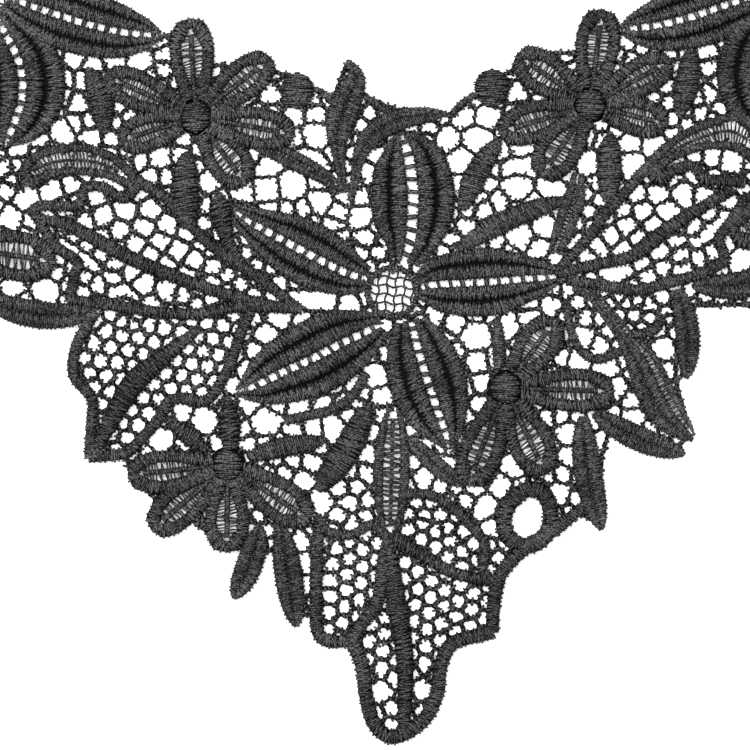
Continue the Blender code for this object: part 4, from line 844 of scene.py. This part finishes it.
# Cords with no solid of their own, which the ground carries: on the front, and on the left arm.
FLAT_CORDS = {
    "arc": [(-27, -31.8, 2.6), (-21, -30.5, 2.6), (-14.8, -28.8, 2.6), (-9.8, -25, 2.6), (-7, -20, 2.4)],
    "side_arc": [(59, -10.5, 2.6), (65.2, -9.2, 2.6), (67, -5.5, 2.6)],
    "leaf_arc": [(43, -1.8, 2.2), (44.2, -9.4, 2.2), (46.8, -14.6, 2.2), (51, -16.6, 2.4),
        (56.5, -14.6, 2.4)],
    "loop_left": [(-19.8, 50.8, 1.6), (-18, 50.2, 1.6), (-14.8, 47, 1.6)],
    "loop_middle": [(-7.2, 49, 1.6), (-4, 47, 1.6), (-1.8, 45, 1.6)],
    "loop_right": [(20.2, 49.5, 1.6), (17, 47.5, 1.6), (14.2, 44.5, 1.6)],
}
ARM_CORDS = {
    "below_flower": [(-121, 34, 2.8), (-127.5, 46, 3), (-140, 58, 2.4)],
    "beside_flower": [(-128, 71, 2.8), (-122.5, 82, 3), (-125, 93, 2.8)],
    "above_flower": [(-128.5, 107, 2.4), (-127, 114, 3), (-132, 122, 2.4)],
    "neck_high": [(-91.5, 127, 2.4), (-89, 119, 3), (-80.5, 110.5, 2.4)],
    "neck_low": [(-83, 99, 2.8), (-81.5, 86, 3), (-76, 73, 2.8)],
    "shoulder": [(-118, 154, 2.4), (-119, 166, 3), (-114, 180, 2.4)],
}
# The open filling between an arch's two cords: rows of x, y, full width.
ARCH_FILLINGS = {
    "cords_wing_left": [(-90, 30.6, 2.4), (-86, 32.4, 4), (-79.8, 33.2, 4.6), (-73.5, 32.4, 4.2),
        (-69, 30.6, 3)],
    "cords_wing_right": [(88.2, 38.4, 4.4), (84, 40.4, 4.8), (78.5, 39.4, 4.4), (72.5, 37, 4),
        (67.5, 33.8, 2.6)],
}
CORDS = {
    "cords_wing_left": WING_CORDS,
    "cords_wing_right": RIGHT_WING_CORDS,
    "cords_leaf_left": LOWER_LEAF_CORDS,
    "cords_point": POINT_CORDS,
    "cords_flat": FLAT_CORDS,
    "cords_arm_left": ARM_CORDS,
    "cords_arm_right": mirrored_table(ARM_CORDS, ARM_LEAN)}
CORD_NODES = ("cords_wing_left", "cords_wing_right", "cords_leaf_left", "cords_point")
ARCH_RAIL_HALF = 0.4
ARCH_FILLING = {**FILLING, "Stitch Pitch": 0.85 * MM}
CORD_SEED, FILLING_SEED, RAIL_SEED = 240, 250, 260

for number, (name, table) in enumerate(CORDS.items()):
    lines = []
    for rows in table.values():
        points = stroke(rows, LINE_STEP)
        lines.append(line_along(points, points[:, 2] / 2))
        covered.append(stroke(rows, COVER_STEP))
    pieces = [stitched(name, lines, CORD_SATIN, CORD_THREAD, CORD_SEED + number)]
    if name in ARCH_FILLINGS:
        points = stroke(ARCH_FILLINGS[name], LINE_STEP)
        filling, rail = line_along(points, points[:, 2] / 2), line_along(points, ARCH_RAIL_HALF)
        pieces += [
            stitched(
                name + "_filling", [filling], ARCH_FILLING, CORD_THREAD, FILLING_SEED + number, stations=5),
            stitched(name + "_rail", [rail], RAIL, CORD_THREAD, RAIL_SEED + number, stations=4)]
        covered.append(points)
    nodes = [name] if name in CORD_NODES else []
    lace_pieces.append(sewn(name + "_satin", pieces, CORD_THREAD, "cord_thread", *nodes))
    under_satin += lines

# ---- Ground
# The net and the bars that carry all of it: running polyester threads bound over with small knotty stitches,
# on a cloth that is dissolved afterwards. A thin bed of thread lies under each panel's satin, near black:
# painted shade.

GROUND_THREAD = thread_material("ground thread", (0.116, 0.112, 0.119), rough=0.55)
NET_PITCH = 4.1
NET_RADIUS = 2.0
NET_WANDER = 0.35
NET_ROWS = 26
NET_LEFT, NET_RIGHT, NET_LOW, NET_HIGH = -160.0, 160.0, -118.0, 195.0
# The share of its radius that a net hole keeps clear of a wider gap, and how far past the limit holes lie.
NET_ROOM = 0.8
NET_PAST = 9
# Numbers of the net's own holes, which start above those of the gaps.
NET_NUMBERS = 1000
# Half the width of a bar, and of a finer one beside a gap of more than this radius.
NET_BAR_HALF = 0.58
BRIDE_HALF = 0.44
BRIDE_FROM = 2.3
# Circles this near can cut a bar short, or share one. Then the shortest bar, and half of the longest.
CUTTERS_WITHIN, SHARERS_WITHIN = 14, 10
SHORTEST_BAR, LONGEST_HALF = 0.5, 20
# Steps along a bar, how far it goes under satin and past the limit, and how its line and its width waver.
BAR_STEP = 0.45
UNDER_SATIN = 0.7
PAST_LIMIT = 0.3
BAR_WAVE = 0.1
BAR_WIDTHS = (0.75, 1.25)
BAR_SEED = 300
# Below this height the right side leans like the wing.
LEAN_CHANGE = 60.0
# The height of a bed of thread, and the small steps in height that keep crossing beds apart.
BED_LIFT, BED_STEP, BED_STEPS = 0.4, 0.015, 20
# A distance longer than the collar, and one too short to count.
FAR, HAIR = 1e3, 1e-6
BAR_STITCH = stitch_kind(
    pitch=0.98, width=0.76, tooth=0.6, crown=1.5, ridge=0.4, slant=12, uneven=1.6, lift=0.15, rise=1)

# The ground's outer limit on the front, and on the left arm, through the middle of the border pieces.
FRONT_LIMIT = [
    (0, 46), (-7.2, 49), (-11.8, 57), (-15.5, 48.2), (-19.8, 50.8), (-24.5, 53.8), (-32, 56),
    (-46, 57), (-50.5, 67), (-58, 63.8), (-70, 60), (-75, 30), (-80, 0), (-75, -6), (-79.5, -13),
    (-80, -20.5), (-75.8, -27), (-76, -40.8), (-67, -40), (-66, -45.5), (-60, -51), (-60, -59.5),
    (-51, -56), (-46, -60.5), (-40.5, -63), (-36, -61), (-39.5, -74), (-33.5, -65), (-30, -64),
    (-24.5, -81), (-20.5, -80), (-19, -86), (-10.5, -87), (-7, -102), (-1.5, -110.5), (7.8, -105.5),
    (11.5, -94), (14.5, -88), (24.5, -85), (25.5, -73), (33, -64), (46, -55), (51, -57), (51.8, -42),
    (53.5, -35), (62, -37.5), (71, -39.2), (73.5, -34.5), (70.5, -22), (73.5, -19),
    (74, 2), (80, 20), (75, 50), (69, 60),
    (62, 64.5), (51, 69), (46, 60), (34, 60), (29, 55), (24.5, 54), (20.2, 49.5), (14.8, 44.5)]
ARM_LIMIT = [
    (-58, 64), (-60, 22), (-55, -4), (-72, -5), (-88, -5.2), (-101, -1.5), (-107, -6), (-126, -1),
    (-126, 8), (-131.5, 17), (-123, 24), (-121, 34), (-127.5, 46), (-140, 58), (-128, 71),
    (-122.5, 82), (-125, 93), (-128.5, 107), (-127, 114), (-132, 122), (-127, 131), (-133, 141),
    (-120, 147), (-118, 154), (-119, 166), (-114, 180), (-106, 165), (-99, 147), (-98, 136),
    (-92, 127), (-89, 119), (-80.5, 110.5), (-81.5, 86), (-76, 73)]
# Gaps wider than the net's: x, y, radius, and for a slot also its length and its direction in degrees.
FRONT_GAPS = [
    (-46, 28.2, 2.6), (-38.5, 25.2, 2.2), (-30.8, 49.5, 2.2), (-25.2, 44.6, 2.2), (-19.5, 44.8, 2.3),
    (-19.8, 39.5, 3), (-31.8, 32, 2.3), (-31.5, 25.8, 2.4), (-25.5, 26.5, 3), (-18.5, 22.8, 2.8),
    (-8, 19, 2.6), (-6.8, 13.8, 2.2), (-4, 34.5, 2.2), (-6, 29.8, 2.2), (-15.5, 17, 2), (12.8, 38, 2.4),
    (17.8, 44.5, 2.3), (23.2, 44.2, 2.8), (30.8, 50.2, 2), (21, 38.6, 2.8), (16.4, 32.8, 2.8),
    (16.2, 26.8, 2.4), (31.8, 37, 2.8), (30.5, 26, 3), (39.8, 26.5, 2.8), (22.5, 20.6, 2.2),
    (26.6, 22.6, 2.2), (17.8, 17, 2), (21, 11.8, 2.2), (25.4, 12.8, 2.2), (31, 13.8, 2.8),
    (38.2, 16.6, 2.7), (36.5, 11, 2.2), (-11, -2.5, 2), (-28.5, -5.6, 2.6), (-32, -10.5, 2.2),
    (-34.2, -15, 2.2), (-36.8, -19, 2.2), (-36.5, -28, 2), (-47.2, -32, 2.8), (-53.6, -29.8, 2),
    (-58.5, -36.8, 2.8), (-32.2, -32.2, 3.2), (-36.6, -38, 2), (-24, -28, 2), (-25, -34.8, 2),
    (-20.2, -34.2, 2.1), (-15, -33.8, 2.8), (-4.8, -20.5, 2.8), (-3.4, -26, 2), (-5.2, -34.5, 2),
    (-6, -40.5, 2.1), (-20.5, -42, 2), (-23, -47, 2), (-18.5, -52.2, 2.6), (-23.5, -62, 2.2),
    (-22, -67.5, 2.4), (-22, -73, 2), (10.5, -5.2, 2), (14.8, -7.4, 2), (20.4, -10.8, 3),
    (28, -8.6, 2.8), (34, -6.2, 2.2), (39.2, -2.8, 2), (20.8, -17.4, 2.3), (21.6, -22.4, 2),
    (21, -28.2, 2), (19.6, -34.6, 2), (6, -37.8, 2), (4, -42.2, 2), (12.6, -43.6, 2.4),
    (7.4, -46.6, 2.4), (22.6, -53.4, 2.4), (30.2, -43, 2.8), (27, -48.4, 2.2), (40.8, -50.2, 2.4),
    (25, -59, 2.2), (43.8, -35, 2.8), (44, -41, 2.6), (59.8, -31.6, 2.8), (53, -18.4, 2.8),
    (55.4, -23.6, 2.2), (46, -17, 2.4), (47, -11, 2.4), (67.8, -13.4, 2.6), (-3.6, -99.8, 2.6),
    (7, -99.5, 2.2), (48.5, 32.5, 2.5)]
FRONT_SLOTS = [
    (-21, 33.2, 2, 6, -25), (31, 32, 1.6, 5, 10), (-21, -1.2, 1.8, 8, -5), (53, -38.6, 1.8, 4, 60)]
WING_GAPS = [
    (-94.2, 35.8, 1.9), (-88.5, 38.4, 1.9), (-83.2, 40.2, 2.7), (-76, 39, 2.2), (-59, 34, 2.6),
    (-60.6, 29, 2.2), (-92.2, 23.6, 2.5), (-85.5, 25.8, 2.3), (-80.6, 27, 2), (-96.2, 18.6, 2.8),
    (-91.6, 14.4, 1.9), (-72.8, 19, 2.1), (-77.2, 17.6, 1.8), (-67.2, 21, 1.9), (-61, 20.5, 2),
    (-62.2, 16.5, 2.1), (-69, 15.2, 2.2), (-64.8, 12.2, 2.2), (-57, 16.8, 1.9), (-58.5, 13, 2),
    (-61, 9.5, 2), (-54, 10.5, 2.1), (-57, 6.8, 2.1), (-50.2, 8, 1.9), (-51.8, 4.5, 2),
    (-65.5, 5.2, 1.9), (-70.5, 3.8, 1.8), (-56.5, 0.5, 2), (-86.8, 0.6, 3.1), (-95.5, 1.5, 2.4),
    (60.5, 24.5, 1.8), (66.2, 24.8, 2.3), (72, 24.5, 2.3), (77.5, 24.2, 1.8), (57.2, 20.8, 1.8),
    (62, 20.5, 2.1), (68.5, 20.5, 2.5), (58.2, 16.8, 2.2), (65, 16.8, 2.3), (54.2, 14.2, 2.1),
    (61.2, 13.8, 2), (51, 11.8, 1.9), (57.2, 10.8, 1.7), (48, 8.8, 2.2), (45.8, 13, 1.7),
    (74.8, 16.5, 2), (70.8, 13.2, 1.7), (66.8, 10, 1.8), (71.8, 9.5, 1.9), (76.2, 8.8, 2),
    (61.8, 7.2, 1.7), (67.5, 6.5, 1.9), (63.2, 4, 2), (79, 19.5, 1.6), (59.2, 38, 2.6),
    (65, 37.2, 2.9), (59.5, 32, 3), (79.5, 33.8, 2.2), (84.2, 32.8, 2.7), (87, 8, 2.8)]
WING_SLOTS = [
    (-79.2, 9.4, 1.5, 8, -38), (-71, 27, 1.4, 3, -35), (-68, 0.2, 1.2, 4, -20), (79.2, 15.8, 1.5, 9, 40),
    (71.8, 6, 1.2, 3, 25), (56, 5, 1.8, 4, 10), (70.8, 32.5, 1.5, 2, 40)]
ARM_GAPS = [
    (-78.6, 47.2, 2.2), (-83, 53.5, 2.2), (-80, 59, 2.2), (-70, 59, 2.2), (-63.5, 58, 2.4),
    (-102, 27.6, 2.4), (-105, 44, 3), (-111.5, 49.5, 3), (-113, 41.5, 2.8), (-107, 57, 2.6),
    (-120, 51.5, 2.8), (-127.5, 53, 2.4), (-116.5, 77.5, 2.8), (-111, 78.5, 2), (-101.5, 92, 2.8),
    (-104, 99, 2.8), (-99, 105.5, 2.8), (-107, 105, 2.6), (-115, 110, 2.6), (-121, 113, 2.6),
    (-101, 113, 2.4), (-85.5, 80.5, 2.4), (-112.5, 157, 2.2), (-115, 162.5, 2.2)]
# Fields of the net: the middle of each and the direction of its rows in degrees, which follow a leaf's vein.
NET_FIELDS = [
    (0, 10, 0), (0, 70, 0), (-110, 60, 0), (110, 60, 0), (-110, 120, 0), (110, 120, 0), (-66, 9, -36),
    (68, 14, 41), (-60, -23, 49), (5, -82, 85), (56, -20, 0), (-40, -45, 0), (30, -45, 0)]
# The middle of each panel of the ground.
PANELS = {
    "ground_front": (-1, 6), "ground_point": (0, -66),
    "ground_leaf_left": (-58, -34), "ground_leaf_right": (58, -30),
    "ground_wing_left": (-62, 18), "ground_wing_right": (62, 20),
    "ground_arm_left": (-108, 62), "ground_arm_right": (108, 64)}

wander = np.random.default_rng(11)
limits = [np.array(corners, float) for corners in (FRONT_LIMIT, ARM_LIMIT, mirrored(ARM_LIMIT, ARM_LEAN))]
motifs = np.vstack([np.array(rows)[:, :3] for rows in covered])


def outside_limit(corners, x, y):
    """Distance of points outside a polygon; negative inside."""
    away = np.full(x.shape, FAR)
    inside = np.zeros(x.shape, bool)
    for (x1, y1), (x2, y2) in zip(corners, np.roll(corners, -1, axis=0)):
        run, rise = x2 - x1, y2 - y1
        share = np.clip(((x - x1) * run + (y - y1) * rise) / (run**2 + rise**2), 0, 1)
        away = np.minimum(away, np.hypot(x - x1 - share * run, y - y1 - share * rise))
        if rise:
            inside ^= ((y1 > y) != (y2 > y)) & (x < x1 + (y - y1) * run / rise)
    return np.where(inside, -away, away)


def outside_limits(x, y):
    """Distance of points outside each of the ground's limits."""
    return [outside_limit(limit, x, y) for limit in limits]


def outside_motifs(x, y):
    """Distance of points outside the nearest motif; negative under one."""
    away = np.full(x.shape, FAR)
    for motif_x, motif_y, width in motifs:
        away = np.minimum(away, np.hypot(x - motif_x, y - motif_y) - width / 2)
    return away


def net_places():
    """Where the net's own holes lie: staggered rows in each field, as far as the next field."""
    middles = np.array(NET_FIELDS)
    places = []
    for k, (middle_x, middle_y, turn) in enumerate(NET_FIELDS):
        across, up = heading(turn)
        for row in range(-NET_ROWS, NET_ROWS + 1):
            side = row * NET_PITCH * math.sqrt(3) / 2
            for step in range(-NET_ROWS, NET_ROWS + 1):
                along = (step + row % 2 / 2) * NET_PITCH
                x, y = middle_x + along * across - side * up, middle_y + along * up + side * across
                inside = NET_LEFT < x < NET_RIGHT and NET_LOW < y < NET_HIGH
                if inside and np.hypot(middles[:, 0] - x, middles[:, 1] - y).argmin() == k:
                    places.append((x, y))
    return places


def net_circles():
    """A circle for each hole of the ground: x, y, radius and whose hole it is. A slot is a row of circles."""
    gaps, slots = FRONT_GAPS + WING_GAPS + ARM_GAPS, FRONT_SLOTS + WING_SLOTS
    for row in ARM_GAPS:
        gaps += mirrored([row], WING_LEAN if row[1] < LEAN_CHANGE else ARM_LEAN)
    circles = [(*gap, number) for number, gap in enumerate(gaps)]
    for number, (x, y, radius, length, turn) in enumerate(slots, len(gaps)):
        across, up = heading(turn)
        for step in np.linspace(-length / 2, length / 2, 1 + round(length / 2)):
            circles.append((x + step * across, y + step * up, radius, number))
    wide = np.array(circles)
    rows = []
    for x, y in net_places():
        if (np.hypot(wide[:, 0] - x, wide[:, 1] - y) > wide[:, 2] + NET_RADIUS * NET_ROOM).all():
            rows.append((x, y, NET_RADIUS, NET_NUMBERS + len(rows)))
    small = np.array(rows)
    small = small[np.minimum.reduce(outside_limits(small[:, 0], small[:, 1])) < NET_PAST]
    small[:, :2] += wander.uniform(-NET_WANDER, NET_WANDER, (len(small), 2))
    return np.vstack([wide, small])


def bars_between(circles):
    """The straight bars where two circles are equally near, by distance squared less radius squared."""
    bars = []
    weight = (circles[:, :2] ** 2).sum(axis=1) - circles[:, 2] ** 2
    for i, circle in enumerate(circles):
        here = circle[:2]
        away = np.hypot(*(circles[:, :2] - here).T)
        near = np.nonzero((away < CUTTERS_WITHIN) & (away > HAIR))[0]
        toward, level = circles[near, :2] - here, weight[near] - weight[i]
        for j, run, height in zip(near, toward, level):
            if j < i or circles[j, 3] == circle[3] or away[j] > SHARERS_WITHIN:
                continue
            start = here + run * (height - 2 * here @ run) / (2 * run @ run)
            along = np.array([-run[1], run[0]]) / away[j]
            slope, room = 2 * toward @ along, level - 2 * toward @ start
            others = near != j
            ahead, behind = others & (slope > HAIR), others & (slope < -HAIR)
            if (room[others & (np.abs(slope) < HAIR)] < 0).any():
                continue
            high = np.min(room[ahead] / slope[ahead], initial=LONGEST_HALF)
            low = np.max(room[behind] / slope[behind], initial=-LONGEST_HALF)
            if high - low > SHORTEST_BAR:
                half = BRIDE_HALF if max(circle[2], circles[j, 2]) > BRIDE_FROM else NET_BAR_HALF
                bars.append((start + along * low, start + along * high, half))
    return bars


def seen_runs(line, seen):
    """The stretches of a line that show."""
    runs, run = [], []
    for point, shows in zip(line, seen):
        if shows:
            run.append(point)
        elif run:
            runs.append(run)
            run = []
    return [run for run in [*runs, run] if len(run) > 1]


def read_lines(bars, own_limit=None):
    """Bars as lines of x, y, half width, cut where satin covers them. Bars of the net are also cut at the
    ground's limits, and bars along a limit where another limit's ground takes over."""
    sampled = [np.linspace(start, end, 2 + int(math.dist(start, end) / BAR_STEP)) for start, end, _ in bars]
    points = np.vstack(sampled)
    clear = outside_motifs(points[:, 0], points[:, 1]) > -UNDER_SATIN
    beyond = outside_limits(points[:, 0], points[:, 1])
    if own_limit is None:
        seen = clear & (np.minimum.reduce(beyond) < PAST_LIMIT)
    else:
        del beyond[own_limit]
        seen = clear & (np.minimum.reduce(beyond) > -PAST_LIMIT)
    lines, first = [], 0
    for line, (_, _, half) in zip(sampled, bars):
        wave = wander.normal(0, BAR_WAVE, line.shape)
        wave[0] = wave[-1] = 0
        drawn = np.column_stack([line + wave, half * wander.uniform(*BAR_WIDTHS, len(line))])
        lines += seen_runs(drawn, seen[first:first + len(line)])
        first += len(line)
    return lines


bar_lines = read_lines(bars_between(net_circles()))
for number, limit in enumerate(limits):
    sides = [(*ends, NET_BAR_HALF) for ends in zip(limit, np.roll(limit, -1, axis=0))]
    bar_lines += read_lines(sides, number)

panel_places = np.array(list(PANELS.values()))


def panel_at(x, y):
    """The number of the panel that carries this place: the one whose middle is nearest."""
    return int(np.hypot(*(panel_places - (x, y)).T).argmin())


panel_bars = [[] for _ in PANELS]
for line in bar_lines:
    middle = line[len(line) // 2]
    panel_bars[panel_at(*middle[:2])].append(line)
panel_shade_beds = [[] for _ in PANELS]
for number, line in enumerate(under_satin):
    line = np.array(line, float)
    lift = BED_LIFT + BED_STEP * (number % BED_STEPS)
    sides = [line_beside(line, side * line[:, 2] * BED_SHARE, line[:, 2])[:, :2] for side in (1, -1)]
    for k in range(len(line) - 1):
        corners = [sides[0][k], sides[0][k + 1], sides[1][k + 1], sides[1][k]]
        panel_shade_beds[panel_at(*line[k, :2])].append((corners, lift))

# The cut of each panel, its holes with it, counted on a fine grid.
# A fine grid over the ground, and which of its points lie inside the ground's limits.
CUT_STEP = 1.0
grid_x, grid_y = (axis.ravel() for axis in np.meshgrid(
    np.arange(NET_LEFT, NET_RIGHT, CUT_STEP), np.arange(NET_LOW, NET_HIGH, CUT_STEP)))
in_limit = np.minimum.reduce(outside_limits(grid_x, grid_y)) < 0

places = [np.array([vertex.co[:2] for vertex in piece.data.vertices]).mean(axis=0) for piece in lace_pieces]
owners = [panel_at((x - SHIFT_X) / MM, (y - SHIFT_Y) / MM) for x, y in places]
for number, name in enumerate(PANELS):
    lines = panel_bars[number]
    bars = stitched(name + "_bars", lines, BAR_STITCH, GROUND_THREAD, BAR_SEED + number, stations=5)
    # The bed has no stitch marks, so the thread's darkest colour falls on it: painted shade under the satin.
    corners, faces = [], []
    for quad, lift in panel_shade_beds[number]:
        corners += [in_frame(x, y, lift) for x, y in quad]
        faces.append(tuple(range(len(corners) - 4, len(corners))))
    shade_bed_mesh = bpy.data.meshes.new(name + "_bed")
    shade_bed_mesh.from_pydata(corners, [], faces)
    shade_bed_mesh.materials.append(GROUND_THREAD)
    shade_bed = placed(name + "_bed", shade_bed_mesh)
    panel = sewn(name + "_net", [bars, shade_bed], GROUND_THREAD, "ground_thread", name)
    low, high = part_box(name)

# ---- Table, light and view
# A plain white painted table lies under the lace. A wide soft light stands above it, with a weaker one to
# fill the shadows, and a long lens looks straight down.

# Half the table's side in metres, then its colour, its roughness and its glow.
TABLE_HALF = 3
TABLE_WHITE = (0.93, 0.93, 0.93, 1)
TABLE_ROUGH = 0.9
TABLE_GLOW = 0.28
WHITE = (1, 1, 1, 1)
ROOM_LIGHT = 0.95
# Each light's place and width in metres, with its power between them.
LIGHTS = {"soft light": ((-0.7, 0.6, 1.0), 20, 0.5), "fill light": ((0.6, -0.3, 1.2), 3, 0.9)}
# The middle and the width of what the camera sees, and its height, in the tables' millimetres.
VIEW_MIDDLE = (-4.75, -20.5)
VIEW_ACROSS = 187.5
VIEW_HIGH = 1000.0

floor_mesh = bpy.data.meshes.new("table")
floor_corners = [(x * TABLE_HALF, y * TABLE_HALF, 0) for x, y in ((-1, -1), (1, -1), (1, 1), (-1, 1))]
floor_mesh.from_pydata(floor_corners, [], [(0, 1, 2, 3)])
floor_paint = bpy.data.materials.new("table white")
floor_paint.use_nodes = True
floor_shader = floor_paint.node_tree.nodes["Principled BSDF"]
floor_shader.inputs["Base Color"].default_value = TABLE_WHITE
floor_shader.inputs["Roughness"].default_value = TABLE_ROUGH
floor_shader.inputs["Emission Color"].default_value = WHITE
floor_shader.inputs["Emission Strength"].default_value = TABLE_GLOW
floor_mesh.materials.append(floor_paint)
placed("table", floor_mesh)

world = bpy.data.worlds.new("studio")
world.use_nodes = True
world.node_tree.nodes["Background"].inputs["Color"].default_value = WHITE
world.node_tree.nodes["Background"].inputs["Strength"].default_value = ROOM_LIGHT
bpy.context.scene.world = world

for name, (place, power, width) in LIGHTS.items():
    light = bpy.data.lights.new(name, "AREA")
    light.energy = power
    light.size = width
    lamp = placed(name, light)
    lamp.location = place
    lamp.rotation_euler = (-lamp.location).to_track_quat("-Z", "Y").to_euler()

lens = bpy.data.cameras.new("camera")
lens.sensor_width = 36
lens.lens = lens.sensor_width * VIEW_HIGH / VIEW_ACROSS
camera = placed("camera", lens)
camera.location = in_frame(*VIEW_MIDDLE, VIEW_HIGH)
bpy.context.scene.camera = camera
bpy.context.scene.view_settings.view_transform = "Standard"
